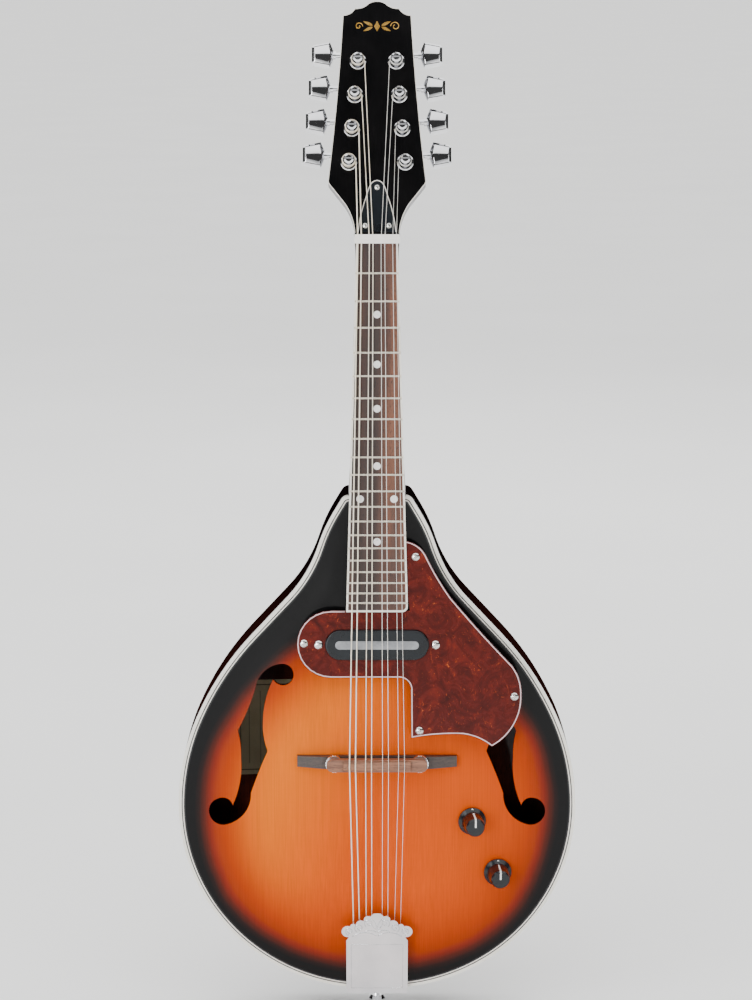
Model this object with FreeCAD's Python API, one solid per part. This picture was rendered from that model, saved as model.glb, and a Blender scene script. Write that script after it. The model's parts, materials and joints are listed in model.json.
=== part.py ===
"""Electro-acoustic mandolin, A style: carved body, neck, tuners, bridge, tailpiece and controls.

Row frame, millimetres: X towards the treble side, Y towards the back, Z up towards the head.
The origin is the strap button's seat on the end of the body, midway through the rim's depth.
"""
import FreeCAD, Part
import bisect
import math
import os

V = FreeCAD.Vector
os.makedirs("parts", exist_ok=True)

# ---- driving dimensions -------------------------------------------------------------------
SCALE = 350.0                 # nut to bridge along the fingerboard
FRET_COUNT = 20
NECK_ANGLE = 4.5              # degrees, neck leaning back from the rim plane
HEAD_ANGLE = 13.0             # degrees, headstock leaning back from the neck
BRIDGE_Z = 165.0
RIM_DEPTH = 42.0
ARCH_TOP = 12.5
ARCH_BACK = 10.0
TOP_THICK = 3.6
BACK_THICK = 3.0
RIB_THICK = 2.5
BINDING_WIDTH = 2.0
PURFLING_WIDTH = 2.6
FINGERBOARD_LIFT = 8.0        # fingerboard surface above the rim plane at the body's tip
FINGERBOARD_THICK = 5.5
FINGERBOARD_LENGTH = 245.9
HALF_WIDTH_NUT = 13.9
HALF_WIDTH_END = 20.7
NUT_LENGTH = 6.0
STRING_HEIGHT_BRIDGE = 27.0   # above the rim plane
STRING_HEIGHT_NUT = 1.3       # above the fingerboard
HEAD_THICK = 13.0
VENEER_THICK = 1.5
TUNER_FIRST = 54.6            # lowest tuner post, from the nut
TUNER_PITCH = 22.9
POST_X = (18.7, 16.7, 14.8, 12.8)   # lowest pair first
GEAR_TEETH = 14
GEAR_RATIO_RADIUS = 6.45
WORM_OFFSET = 8.8
CLEAR = 0.05                  # radial clearance of a running fit
GUARD_HEIGHT = 14.3           # pickguard's face above the rim plane, at the pickup
GUARD_THICK = 2.0
PICKUP_Z = 246.4

FRONT = -RIM_DEPTH / 2
BACK = RIM_DEPTH / 2
ARCH_CENTRE_Z = 150.0
FLAT_MARGIN = 7.0


# ---- helpers ------------------------------------------------------------------------------
def save(name, *shapes):
    """Write one node; several solids stay separate in one compound."""
    solids = [s for shape in shapes for s in shape.Solids]
    shape = solids[0] if len(solids) == 1 else Part.makeCompound(solids)
    shape.exportStep("parts/%s.step" % name)
    print("%-24s solids %2d  volume %10.1f  valid %s"
          % (name, len(solids), sum(s.Volume for s in solids), all(s.isValid() for s in solids)))


def frame_matrix(origin, x_axis, y_axis, z_axis):
    m = FreeCAD.Matrix(x_axis.x, y_axis.x, z_axis.x, origin.x,
                       x_axis.y, y_axis.y, z_axis.y, origin.y,
                       x_axis.z, y_axis.z, z_axis.z, origin.z, 0, 0, 0, 1)
    return FreeCAD.Placement(m)


def placed(shape, placement):
    """A copy of the shape carried from a local frame into the row frame."""
    copy = shape.copy()
    copy.Placement = placement.multiply(copy.Placement)
    return copy


def box(x0, x1, y0, y1, z0, z1):
    return Part.makeBox(x1 - x0, y1 - y0, z1 - z0, V(x0, y0, z0))


def cylinder(radius, start, end):
    return Part.makeCylinder(radius, (end - start).Length, start, end - start)


def revolved(profile, start, axis):
    """A turned solid: profile is a list of (radius, distance along the axis)."""
    points = [V(0, 0, profile[0][1])] + [V(r, 0, d) for r, d in profile] + [V(0, 0, profile[-1][1])]
    points = [p for i, p in enumerate(points) if i == 0 or (p - points[i - 1]).Length > 1e-6]
    solid = Part.Face(Part.makePolygon(points + [points[0]])).revolve(V(0, 0, 0), V(0, 0, 1), 360)
    solid.Placement = FreeCAD.Placement(start, FreeCAD.Rotation(V(0, 0, 1), axis))
    return solid


def arc(p, q, r):
    return Part.Arc(p, q, r).toShape()


def prism(wire, direction):
    return Part.Face(wire).extrude(direction)


def mirrored_outline(edges):
    """Close a half outline, drawn on the +X side from one end to the other, with its mirror image."""
    half = Part.Wire(edges)
    other = half.mirror(V(0, 0, 0), V(1, 0, 0))
    return Part.Wire(Part.__sortEdges__(half.Edges + other.Edges))


def fuse_all(shapes):
    return shapes[0].multiFuse(shapes[1:]) if len(shapes) > 1 else shapes[0]


# ---- body outline: one chain of tangent arcs ---------------------------------------------
# each step is (radius, turn in degrees), left turns positive, or (length, 0) for a straight
BODY_CHAIN = ((5.3, 0), (130, 90), (155, 23.6), (205, 19.4), (34.9, 0),
              (96, -25), (110, 13), (10, 0), (6, 59))


def body_outline():
    here = V(0, 0, 0)
    heading = 0.0
    edges = []
    for size, turn in BODY_CHAIN:
        a = math.radians(heading)
        if turn == 0:
            there = here + V(math.cos(a), 0, math.sin(a)) * size
            edges.append(Part.LineSegment(here, there).toShape())
        else:
            side = math.copysign(1, turn)
            centre = here + V(-math.sin(a), 0, math.cos(a)) * size * side

            def on_arc(part):
                b = math.radians(heading + turn * part)
                return centre - V(-math.sin(b), 0, math.cos(b)) * size * side
            there = on_arc(1)
            edges.append(arc(here, on_arc(0.5), there))
        here = there
        heading += turn
    edges.append(Part.LineSegment(here, V(0, 0, here.z)).toShape())
    return mirrored_outline(edges), here.z


OUTLINE, BODY_LENGTH = body_outline()


def body_section(inset, y0, y1):
    """The body's outline moved inwards by inset, as a prism from y0 to y1."""
    wire = OUTLINE if inset == 0 else OUTLINE.makeOffset2D(-inset)
    wire = wire.copy()
    wire.translate(V(0, y0, 0))
    return prism(wire, V(0, y1 - y0, 0))


def body_ring(outer, inner, y0, y1):
    return body_section(outer, y0, y1).cut(body_section(inner, y0 - 1, y1 + 1))


def polar_radii():
    """Distance from the arch's centre to the outline, by direction."""
    table = []
    for p in OUTLINE.discretize(720):
        table.append((math.atan2(abs(p.x), p.z - ARCH_CENTRE_Z), math.hypot(p.x, p.z - ARCH_CENTRE_Z)))
    return sorted(table)


RADII = polar_radii()
ANGLES = [a for a, _ in RADII]


def arch(x, z):
    """Share of the full arch height at a place on the plate: 1 at the middle, 0 from the margin out."""
    angle = math.atan2(abs(x), z - ARCH_CENTRE_Z)
    i = min(max(bisect.bisect(ANGLES, angle), 1), len(RADII) - 1)
    a0, r0 = RADII[i - 1]
    a1, r1 = RADII[i]
    reach = r0 + (r1 - r0) * (angle - a0) / max(a1 - a0, 1e-9) - FLAT_MARGIN
    share = min(math.hypot(x, z - ARCH_CENTRE_Z) / reach, 1.0)
    return (1 - share ** 2) ** 2


def arched_face(rim_y, rise):
    """The carved surface, smooth through a grid of heights from the arch formula."""
    columns, rows = 27, 33
    reach_x, low, high = 140.0, -5.0, BODY_LENGTH + 5.0
    grid = []
    for i in range(columns):
        x = -reach_x + 2 * reach_x * i / (columns - 1)
        line = []
        for j in range(rows):
            z = low + (high - low) * j / (rows - 1)
            line.append(V(x, rim_y + rise * arch(x, z), z))
        grid.append(line)
    surface = Part.BSplineSurface()
    surface.interpolate(grid)
    return surface.toShape()


TOP_FACE = arched_face(FRONT, -ARCH_TOP)
BACK_FACE = arched_face(BACK, ARCH_BACK)
ABOVE_TOP = TOP_FACE.extrude(V(0, -60, 0))


def inside_top(depth):
    """Everything deeper than the top plate's inner face, down to the given depth."""
    face = TOP_FACE.copy()
    face.translate(V(0, TOP_THICK, 0))
    return face.extrude(V(0, depth, 0))


def inside_back(depth):
    face = BACK_FACE.copy()
    face.translate(V(0, -BACK_THICK, 0))
    return face.extrude(V(0, -depth, 0))


def top_height(x, z):
    return ARCH_TOP * arch(x, z)


def top_point(x, z):
    return V(x, FRONT - top_height(x, z), z)


def top_normal(x, z):
    """Outward normal of the carved top."""
    step = 1.0
    slope_x = (top_height(x + step, z) - top_height(x - step, z)) / (2 * step)
    slope_z = (top_height(x, z + step) - top_height(x, z - step)) / (2 * step)
    n = V(-slope_x, -1, -slope_z)
    return n.normalize()


# ---- local frames of the neck and the headstock ------------------------------------------
NECK_TILT = math.radians(NECK_ANGLE)
HEAD_TILT = math.radians(NECK_ANGLE + HEAD_ANGLE)
NUT_Z = BRIDGE_Z + SCALE * math.cos(NECK_TILT)
NUT_Y = FRONT - FINGERBOARD_LIFT + (NUT_Z - BODY_LENGTH) * math.tan(NECK_TILT)
NECK_ORIGIN = V(0, NUT_Y, NUT_Z)
NECK_UP = V(0, math.sin(NECK_TILT), math.cos(NECK_TILT))
NECK_OUT = V(0, -math.cos(NECK_TILT), math.sin(NECK_TILT))
HEAD_DROP = 1.5
HEAD_ORIGIN = NECK_ORIGIN - NECK_OUT * HEAD_DROP
HEAD_UP = V(0, math.sin(HEAD_TILT), math.cos(HEAD_TILT))
HEAD_OUT = V(0, -math.cos(HEAD_TILT), math.sin(HEAD_TILT))
NECK = frame_matrix(NECK_ORIGIN, V(1, 0, 0), NECK_UP, NECK_OUT)     # (across, towards head, out)
HEAD = frame_matrix(HEAD_ORIGIN, V(1, 0, 0), HEAD_UP, HEAD_OUT)


def fret_distance(number):
    return SCALE * (1 - 2 ** (-number / 12.0))


def half_width(distance):
    """Half the fingerboard's width at a distance from the nut."""
    return HALF_WIDTH_NUT + (HALF_WIDTH_END - HALF_WIDTH_NUT) * distance / FINGERBOARD_LENGTH


# ---- body --------------------------------------------------------------------------------
F_HOLE = (((70.3, 219.4), (75.6, 204.5), (77.3, 189.7)),
          ((77.3, 189.7), (76.7, 179.5), (74.2, 170.2)),
          ((74.2, 170.2), (80.7, 154.6), (85.8, 140.7)),
          ((85.8, 140.7), (92.5, 123.5), (103.7, 117.4)),
          ((103.7, 117.4), (114.7, 127.0), (105.8, 136.5)),
          ((105.8, 136.5), (101.0, 135.4), (98.3, 131.5)),
          ((98.3, 131.5), (93.4, 147.0), (92.4, 165.3)),
          ((92.4, 165.3), (92.8, 175.0), (94.5, 183.7)),
          ((94.5, 183.7), (87.2, 199.5), (82.4, 213.0)),
          ((82.4, 213.0), (76.2, 225.0), (64.5, 230.2)),
          ((64.5, 230.2), (56.4, 223.5), (60.6, 216.3)),
          ((60.6, 216.3), (66.2, 216.0), (70.3, 219.4)))


def f_hole(side):
    edges = []
    for points in F_HOLE:
        p, q, r = (V(side * x, FRONT - 30, z) for x, z in points)
        edges.append(arc(p, q, r))
    return prism(Part.Wire(edges), V(0, 60, 0))


KNOBS = {"volume": (64.4, 122.0), "tone": (82.3, 84.5)}
GUARD_SCREWS = ((-49.0, 247.3), (25.8, 305.8), (92.3, 211.3), (28.5, 188.0))


def make_body():
    groove = body_ring(BINDING_WIDTH, BINDING_WIDTH + PURFLING_WIDTH, FRONT - 1, FRONT + 1.5)
    top = body_section(BINDING_WIDTH, FRONT - 40, FRONT + 10)
    top = top.common(TOP_FACE.extrude(V(0, TOP_THICK, 0)))
    top = top.cut(fuse_all([groove, f_hole(1), f_hole(-1)]))
    for x, z in KNOBS.values():
        out = top_normal(x, z)
        top = top.cut(cylinder(POT_BUSH_R, top_point(x, z) - out * 10, top_point(x, z) + out * 6))
    save("top_plate", top)
    back = body_section(0, BACK - 10, BACK + 30).common(BACK_FACE.extrude(V(0, -BACK_THICK, 0)))
    save("back_plate", back)
    ribs = body_ring(0, RIB_THICK, FRONT + 5, BACK - BACK_THICK)
    ribs = ribs.cut(fuse_all([neck_tenon(), jack_hole(), button_hole()]))
    save("ribs", ribs)
    save("top_binding", body_ring(0, BINDING_WIDTH, FRONT, FRONT + 5))
    save("top_purfling", body_ring(BINDING_WIDTH, BINDING_WIDTH + PURFLING_WIDTH, FRONT, FRONT + 1.5))
    front_lining = body_ring(RIB_THICK, RIB_THICK + 5, FRONT + TOP_THICK, FRONT + TOP_THICK + 9)
    back_lining = body_ring(RIB_THICK, RIB_THICK + 5, BACK - BACK_THICK - 9, BACK - BACK_THICK)
    ends = fuse_all([box(-29, 29, FRONT, BACK, BODY_LENGTH - 60, BODY_LENGTH + 1),
                     box(-31, 31, FRONT, BACK, -1, 26), jack_hole(8)])
    save("linings", front_lining.cut(ends), back_lining.cut(ends))
    bars = []
    for side in (-1, 1):
        bar = box(-2.6, 2.6, FRONT - 20, FRONT + 2, 50, 262)
        bar.rotate(V(0, 0, 150), V(0, 1, 0), side * 4.0)
        bar.translate(V(side * 24, 0, 0))
        bars.append(bar.common(inside_top(11)))
    save("tone_bars", *bars)
    inner = body_section(RIB_THICK, FRONT, BACK)
    clear = inside_top(60).common(inside_back(60))
    neck_block = inner.common(box(-28, 28, FRONT, BACK, BODY_LENGTH - 34, BODY_LENGTH))
    save("neck_block", neck_block.common(clear).cut(neck_tenon()))
    tail_block = inner.common(box(-30, 30, FRONT, BACK, 0, 25))
    save("tail_block", tail_block.common(clear).cut(fuse_all([button_hole()])))
    label = box(-98, -46, 0, BACK + 20, 141, 209).common(inside_back(0.4))
    save("soundhole_label", label)


def neck_tenon():
    """The neck's tenon, and the mortise it fills."""
    return box(-9, 9, FRONT + 8, BACK - 8, BODY_LENGTH - 16, BODY_LENGTH + 1)


# ---- neck --------------------------------------------------------------------------------
def neck_section(along, half, depth, narrow):
    """A D-shaped section of the neck shaft, in the neck's frame; narrow shapes a heel's tip."""
    top = -FINGERBOARD_THICK
    right = [(1.0, 0), (0.97, 0.3), (0.8 - 0.18 * narrow, 0.68), (0.45 - 0.1 * narrow, 0.93), (0, 1.0)]
    points = [V(half * a, along, top - depth * b) for a, b in right]
    points += [V(-p.x, p.y, p.z) for p in reversed(points[:-1])]
    curve = Part.BSplineCurve()
    curve.interpolate(points)
    return Part.Wire([curve.toShape(), Part.LineSegment(points[-1], points[0]).toShape()])


def head_outline(low, h):
    """The headstock's outline in its own frame, from the given distance above the nut."""
    start = V(14.5, low, h)
    edges = [Part.LineSegment(start, V(14.8, 7, h)).toShape(),
             arc(V(14.8, 7, h), V(16.6, 16.6, h), V(21.4, 26.6, h)),
             Part.LineSegment(V(21.4, 26.6, h), V(31.7, 39.8, h)).toShape(),
             arc(V(31.7, 39.8, h), V(32.4, 41.2, h), V(32.5, 42.6, h)),
             arc(V(32.5, 42.6, h), V(27.3, 93, h), V(22.9, 154.2, h)),
             arc(V(22.9, 154.2, h), V(22.6, 155.0, h), V(21.6, 155.2, h)),
             arc(V(21.6, 155.2, h), V(17.9, 156.5, h), V(15.2, 159.2, h)),
             arc(V(15.2, 159.2, h), V(14.7, 159.7, h), V(13.9, 159.8, h)),
             arc(V(13.9, 159.8, h), V(9.6, 160.6, h), V(6.2, 162.8, h)),
             arc(V(6.2, 162.8, h), V(3.3, 164.3, h), V(0, 164.8, h))]
    half = Part.Wire(edges)
    other = half.mirror(V(0, 0, 0), V(1, 0, 0))
    base = Part.LineSegment(V(-14.5, low, h), start).toShape()
    return Part.Wire(Part.__sortEdges__(half.Edges + other.Edges + [base]))


def head_prism(low, h0, h1):
    return prism(head_outline(low, h0), V(0, 0, h1 - h0))


TRUSS_DEPTH = 9.5             # rod's axis below the fingerboard surface
TRUSS_R = 2.5
TRUSS_NUT_R = 3.6


def truss_pocket():
    """The opening at the head end where the truss rod's nut is reached, in the neck's frame."""
    return box(-4.8, 4.8, 7.6, 25, -TRUSS_DEPTH - 4.4, 6)


def make_neck():
    joint = (NUT_Z - BODY_LENGTH) / math.cos(NECK_TILT)
    shaft_depth = 14.5
    stations = ((NUT_LENGTH, 15.3, shaft_depth - 1.5, 0), (-4, 14.5, shaft_depth - 0.9, 0),
                (-20, 14.4, shaft_depth, 0), (-90, half_width(90), 15.5, 0),
                (-joint + 42, half_width(joint - 42), 17, 0),
                (-joint + 22, half_width(joint - 22), 21, 0.3), (-joint + 9, half_width(joint), 33, 0.7),
                (-joint - 1, half_width(joint) + 0.2, 42.3, 1),
                (-joint - 8, half_width(joint) + 0.4, 45.5, 1))
    shaft = Part.makeLoft([neck_section(*s) for s in stations], True, False)
    shaft = placed(shaft, NECK).common(box(-60, 60, -120, BACK, BODY_LENGTH, NUT_Z + 60))
    core = placed(head_prism(-3, -HEAD_THICK, -VENEER_THICK), HEAD)
    over = placed(box(-40, 40, -30, NUT_LENGTH, -FINGERBOARD_THICK, 20), NECK)
    riser = fingerboard_prism(-FINGERBOARD_THICK - 12, -FINGERBOARD_THICK, 1.0)
    riser = placed(riser, NECK).common(ABOVE_TOP).common(box(-60, 60, -90, 0, 0, BODY_LENGTH + 3))
    neck = shaft.fuse(core.cut(over)).fuse(neck_tenon()).fuse(riser)
    rod = placed(truss_cylinder(TRUSS_R, -150, 9), NECK)
    cutters = [rod, placed(truss_pocket(), NECK)]
    for _, x, u in tuner_places():
        cutters.append(placed(cylinder(3.6, V(x, u, -20), V(x, u, 0)), HEAD))
        cutters.append(placed(cylinder(BUSH_R, V(x, u, -8), V(x, u, 1)), HEAD))
        sx, su = plate_screw_place(x, u)
        low, high = V(sx, su, -HEAD_THICK - 1), V(sx, su, 7 - HEAD_THICK - PLATE_THICK)
        cutters.append(placed(cylinder(1.2, low, high), HEAD))
    save("neck", neck.cut(fuse_all(cutters)).removeSplitter())
    veneer = head_prism(NUT_LENGTH + 0.4, -VENEER_THICK, 0)
    for _, x, u in tuner_places():
        veneer = veneer.cut(cylinder(BUSH_R, V(x, u, -3), V(x, u, 1)))
    veneer = placed(veneer, HEAD).cut(placed(truss_pocket(), NECK))
    save("headstock_veneer", veneer.cut(over))
    save("truss_rod", placed(truss_cylinder(TRUSS_R, -150, 12.5), NECK))
    nut = truss_cylinder(TRUSS_NUT_R, 8.6, 16.6).cut(truss_cylinder(TRUSS_R + CLEAR, 8, 13))
    corners = [math.radians(60 * k) for k in range(6)]
    hexagon = [V(2.0 * math.cos(a), 13, 2.0 * math.sin(a) - TRUSS_DEPTH) for a in corners]
    socket = prism(Part.makePolygon(hexagon + [hexagon[0]]), V(0, 5, 0))
    save("truss_rod_nut", placed(nut.cut(socket), NECK))


def truss_cylinder(radius, start, end):
    return cylinder(radius, V(0, start, -TRUSS_DEPTH), V(0, end, -TRUSS_DEPTH))


def fingerboard_prism(h0, h1, inset, end_radius=4.0):
    """The fingerboard's tapering outline, moved in by inset, between two heights in the neck's frame."""
    end = FINGERBOARD_LENGTH - inset
    a = HALF_WIDTH_NUT - inset
    b = half_width(end) - inset
    r = max(end_radius - inset, 0.5)
    c = r * math.sqrt(0.5)
    slope = (b - a) / end
    edges = [Part.LineSegment(V(-a, 0, h0), V(a, 0, h0)).toShape(),
             Part.LineSegment(V(a, 0, h0), V(b - slope * r, r - end, h0)).toShape(),
             arc(V(b - slope * r, r - end, h0), V(b - r + c, r - c - end, h0), V(b - r, -end, h0)),
             Part.LineSegment(V(b - r, -end, h0), V(-b, -end, h0)).toShape(),
             Part.LineSegment(V(-b, -end, h0), V(-a, 0, h0)).toShape()]
    return prism(Part.Wire(edges), V(0, 0, h1 - h0))


MARKERS = ((3, 0), (5, 0), (7, 0), (10, 0), (12, -11.3), (12, 11.3), (15, 0))


def make_fingerboard():
    strip = 1.3
    slot_width, slot_depth, crown = 0.6, 1.8, 1.1
    board = fingerboard_prism(-FINGERBOARD_THICK, 0, strip)
    frets, slots, dots = [], [], []
    for number in range(1, FRET_COUNT + 1):
        at = -fret_distance(number)
        half = half_width(-at) - 0.3
        tang_half = half_width(-at) - strip
        tang = box(-tang_half, tang_half, at - slot_width / 2, at + slot_width / 2, -slot_depth, 0.05)
        bead = cylinder(crown / 2 + 0.15, V(-half, at, -0.15), V(half, at, -0.15))
        bead = bead.common(box(-half, half, at - 1, at + 1, 0, 2))
        slots.append(tang)
        frets.append(placed(bead.fuse(tang), NECK))
    for number, x in MARKERS:
        middle = -(fret_distance(number) + fret_distance(number - 1)) / 2
        dots.append(cylinder(2.5, V(x, middle, -1.0), V(x, middle, 0)))
    board = board.cut(fuse_all(slots + dots))
    save("fingerboard", placed(board, NECK))
    edge = fingerboard_prism(-FINGERBOARD_THICK, 0, 0).cut(fingerboard_prism(-9, 1, strip))
    save("fingerboard_binding", placed(edge, NECK))
    save("frets", *frets)
    save("position_markers", *[placed(d, NECK) for d in dots])
    blank = box(-15, 15, 0, NUT_LENGTH, -FINGERBOARD_THICK, 2.2)
    blank = blank.cut(wedge_above_nut())
    nut = placed(blank, NECK)
    for s in range(8):
        nut = nut.cut(string_segment(s, 1, STRING_R[s // 2] + 0.02))
        nut = nut.cut(string_segment(s, 2, STRING_R[s // 2] + 0.02))
    save("nut", nut)


def wedge_above_nut():
    """What is planed off the nut's head side, so that its top slopes down towards the tuners."""
    points = [V(-20, 3.0, 2.21), V(-20, NUT_LENGTH + 0.1, 0.8), V(-20, NUT_LENGTH + 0.1, 4), V(-20, 3.0, 4)]
    return prism(Part.makePolygon(points + [points[0]]), V(40, 0, 0))


# ---- tuners ------------------------------------------------------------------------------
BUSH_R = 4.2
POST_R = 3.0
HEAD_BACK = -HEAD_THICK
PLATE_THICK = 1.2
PLATE_HALF = 7.2              # half the width of a plate
EAR_R = 2.9                   # round end of the ears that hold a worm
WORM_H = HEAD_BACK - PLATE_THICK - 3.4      # worm and gear plane behind the headstock
SHAFT_R = 2.0
WRAP_R = 3.9
WRAP_H = (4.5, 9.0)
KEY_IN, KEY_OUT = 16.5, 31.0                # button's ends, from the post's axis


def tuner_places():
    """Tuner number, x and distance from the nut: 1 to 4 up the bass side, 5 to 8 up the treble side."""
    places = []
    for side in (-1, 1):
        for k in range(4):
            number = k + 1 if side < 0 else k + 5
            places.append((number, side * POST_X[k], TUNER_FIRST + TUNER_PITCH * k))
    return places


def gear_wheel():
    """A worm wheel round the local Z axis, with a tooth pointing along +Y."""
    root, tip = 5.55, 6.65
    teeth = []
    for k in range(GEAR_TEETH):
        flanks = [V(-0.62, 4.5, 0), V(0.62, 4.5, 0), V(0.4, tip, 0), V(-0.4, tip, 0)]
        tooth = Part.makePolygon(flanks + [flanks[0]])
        tooth = prism(tooth, V(0, 0, 2.6))
        tooth.rotate(V(0, 0, 0), V(0, 0, 1), 360.0 * k / GEAR_TEETH)
        teeth.append(tooth)
    wheel = fuse_all([Part.makeCylinder(root, 2.6)] + teeth)
    wheel.translate(V(0, 0, WORM_H - 1.3))
    return wheel


def worm():
    """The worm on its core, along the local X axis and centred on the gear."""
    lead = 2 * math.pi * GEAR_RATIO_RADIUS / GEAR_TEETH
    turns = 3
    core_r, crest_r = 1.65, 2.55
    helix = Part.makeHelix(lead, lead * turns, core_r - 0.1)
    profile = Part.makePolygon([V(core_r - 0.25, 0, -0.5), V(crest_r, 0, -0.28), V(crest_r, 0, 0.28),
                                V(core_r - 0.25, 0, 0.5), V(core_r - 0.25, 0, -0.5)])
    thread = Part.Wire(helix.Edges).makePipeShell([profile], True, True)
    thread.translate(V(0, 0, -lead * turns / 2))
    core_length = lead * turns + 1.6
    solid = fuse_all([thread, Part.makeCylinder(core_r, core_length, V(0, 0, -core_length / 2))])
    # the thread's start is turned towards the gear, then the worm's own Z becomes +X
    solid.rotate(V(0, 0, 0), V(0, 0, 1), -90)
    return placed(solid, FreeCAD.Placement(V(0, 0, 0), FreeCAD.Rotation(V(0, 1, 0), 90)))


def key_button(side):
    """The finger button, in the tuner's frame with the post at x = 0."""
    outline = [(KEY_IN, 2.6), (KEY_IN + 2.4, 8.7), (KEY_OUT - 1.2, 6.6), (KEY_OUT, 5.2),
               (KEY_OUT, -5.2), (KEY_OUT - 1.2, -6.6), (KEY_IN + 2.4, -8.7), (KEY_IN, -2.6)]
    points = [V(side * x, u, -3.6) for x, u in outline]
    slab = prism(Part.makePolygon(points + [points[0]]), V(0, 0, 7.2))
    rim = [e for e in slab.Edges if abs(e.Vertexes[0].Z - e.Vertexes[-1].Z) < 1e-6]
    slab = slab.makeChamfer(1.2, rim)
    collar = cylinder(3.0, V(side * (KEY_IN - 1.6), 0, 0), V(side * (KEY_IN + 1.5), 0, 0))
    button = slab.fuse(collar)
    button.translate(V(0, WORM_OFFSET, WORM_H))
    return button


def key_shaft(side):
    thread = worm()
    thread.translate(V(0, WORM_OFFSET, WORM_H))
    at = V(0, WORM_OFFSET, WORM_H)
    outer = cylinder(SHAFT_R, at + V(side * 4.9, 0, 0), at + V(side * (KEY_IN - 1), 0, 0))
    inner = cylinder(SHAFT_R, at - V(side * 4.9, 0, 0), at - V(side * 7.4, 0, 0))
    return fuse_all([thread, outer, inner])


def make_tuners():
    bushings, plates, screws = [], [], []
    for number, x, u in tuner_places():
        side = -1 if x < 0 else 1
        here = V(x, u, 0)
        key = key_button(side).fuse(key_shaft(side))
        key.translate(here)
        save("tuner_key_%d" % number, placed(key, HEAD))
        post = revolved([(POST_R, WORM_H - 1.35), (POST_R, WRAP_H[0]), (2.7, WRAP_H[0]), (2.7, WRAP_H[1]),
                         (3.3, WRAP_H[1]), (3.3, 11.6), (2.2, 12.8)], V(0, 0, 0), V(0, 0, 1))
        post = post.cut(box(-4, 4, -0.5, 0.5, 11.2, 14))
        wrap = revolved([(WRAP_R, WRAP_H[0]), (WRAP_R, WRAP_H[1])], V(0, 0, 0), V(0, 0, 1))
        screw_half = [(2.1, WORM_H - 2.9), (2.6, WORM_H - 2.3), (2.6, WORM_H - 1.3)]
        screw = revolved(screw_half, V(0, 0, 0), V(0, 0, 1))
        post = fuse_all([post, gear_wheel(), wrap, screw])
        post.translate(here)
        save("string_post_%d" % number, placed(post, HEAD))
        ring = revolved([(5.5, 0), (5.5, 0.8), (4.9, 1.3), (4.0, 1.3)], V(0, 0, 0), V(0, 0, 1))
        ring = ring.fuse(cylinder(BUSH_R, V(0, 0, -8), V(0, 0, 0.5)))
        ring = ring.cut(cylinder(POST_R + CLEAR, V(0, 0, -9), V(0, 0, 3)))
        ring.translate(here)
        bushings.append(placed(ring, HEAD))
        screws.append(plate_screw(x, u))
    save("tuner_bushings", *bushings)
    for side in (-1, 1):
        plates.append(placed(tuner_plate(side), HEAD))
    save("tuner_plates", *plates)
    save("tuner_plate_screws", *screws)


def plate_screw_place(x, u):
    """Where the plate's screw for the tuner at (x, u) goes: between it and the tuner below."""
    return x - math.copysign(1.5, x), u - 9.6


def plate_screw(x, u):
    screw = revolved([(1.2, 7), (1.2, 0), (2.4, 0), (2.4, -0.5), (1.6, -1.2)], V(0, 0, 0), V(0, 0, 1))
    sx, su = plate_screw_place(x, u)
    screw.translate(V(sx, su, HEAD_BACK - PLATE_THICK))
    return placed(screw, HEAD)


def tuner_plate(side):
    """One strip behind the headstock that carries four tuners: plate, and two ears for each worm."""
    low = TUNER_FIRST - 14
    high = TUNER_FIRST + 3 * TUNER_PITCH + 14.5
    back = HEAD_BACK

    def x_at(u):
        share = (u - TUNER_FIRST) / (3 * TUNER_PITCH)
        return side * (POST_X[0] + (POST_X[3] - POST_X[0]) * share)
    points = [V(x_at(low) - PLATE_HALF, low, back), V(x_at(low) + PLATE_HALF, low, back),
              V(x_at(high) + PLATE_HALF, high, back), V(x_at(high) - PLATE_HALF, high, back)]
    plate = prism(Part.makePolygon(points + [points[0]]), V(0, 0, -PLATE_THICK))
    plate = plate.makeFillet(2.5, [e for e in plate.Edges if abs(e.Vertexes[0].Z - e.Vertexes[-1].Z) > 0.5])
    holes = []
    for _, x, u in tuner_places():
        if x * side < 0:
            continue
        for ear_x in (-6.9, 5.3):
            near, far, middle = x + ear_x, x + ear_x + 1.6, u + WORM_OFFSET
            ear = box(near, far, middle - EAR_R, middle + EAR_R, WORM_H, back)
            lobe = cylinder(EAR_R, V(near, middle, WORM_H), V(far, middle, WORM_H))
            plate = fuse_all([plate, ear, lobe])
        at = V(x, u + WORM_OFFSET, WORM_H)
        holes.append(cylinder(SHAFT_R + CLEAR, at - V(9, 0, 0), at + V(9, 0, 0)))
        holes.append(cylinder(POST_R + CLEAR, V(x, u, back - 3), V(x, u, back + 1)))
        sx, su = plate_screw_place(x, u)
        holes.append(cylinder(1.2, V(sx, su, back - 3), V(sx, su, back + 1)))
    return plate.cut(fuse_all(holes))


# ---- strings -----------------------------------------------------------------------------
STRING_R = (0.44, 0.31, 0.18, 0.14)          # G, D, A and E courses
COURSE_X_NUT = (-11.5, -3.85, 3.85, 11.5)
COURSE_GAP_NUT = 2.4
COURSE_X_BRIDGE = (-16.5, -5.7, 5.7, 16.5)
COURSE_GAP_BRIDGE = 4.0
ANCHOR_X = (-15.5, -11.4, -7.3, -3.55, 3.55, 7.3, 11.4, 15.5)
ANCHOR_Z = 22.0
ANCHOR_HEIGHT = 4.3
POST_ORDER = (1, 2, 3, 4, 8, 7, 6, 5)        # outer strings go to the lowest posts


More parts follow.
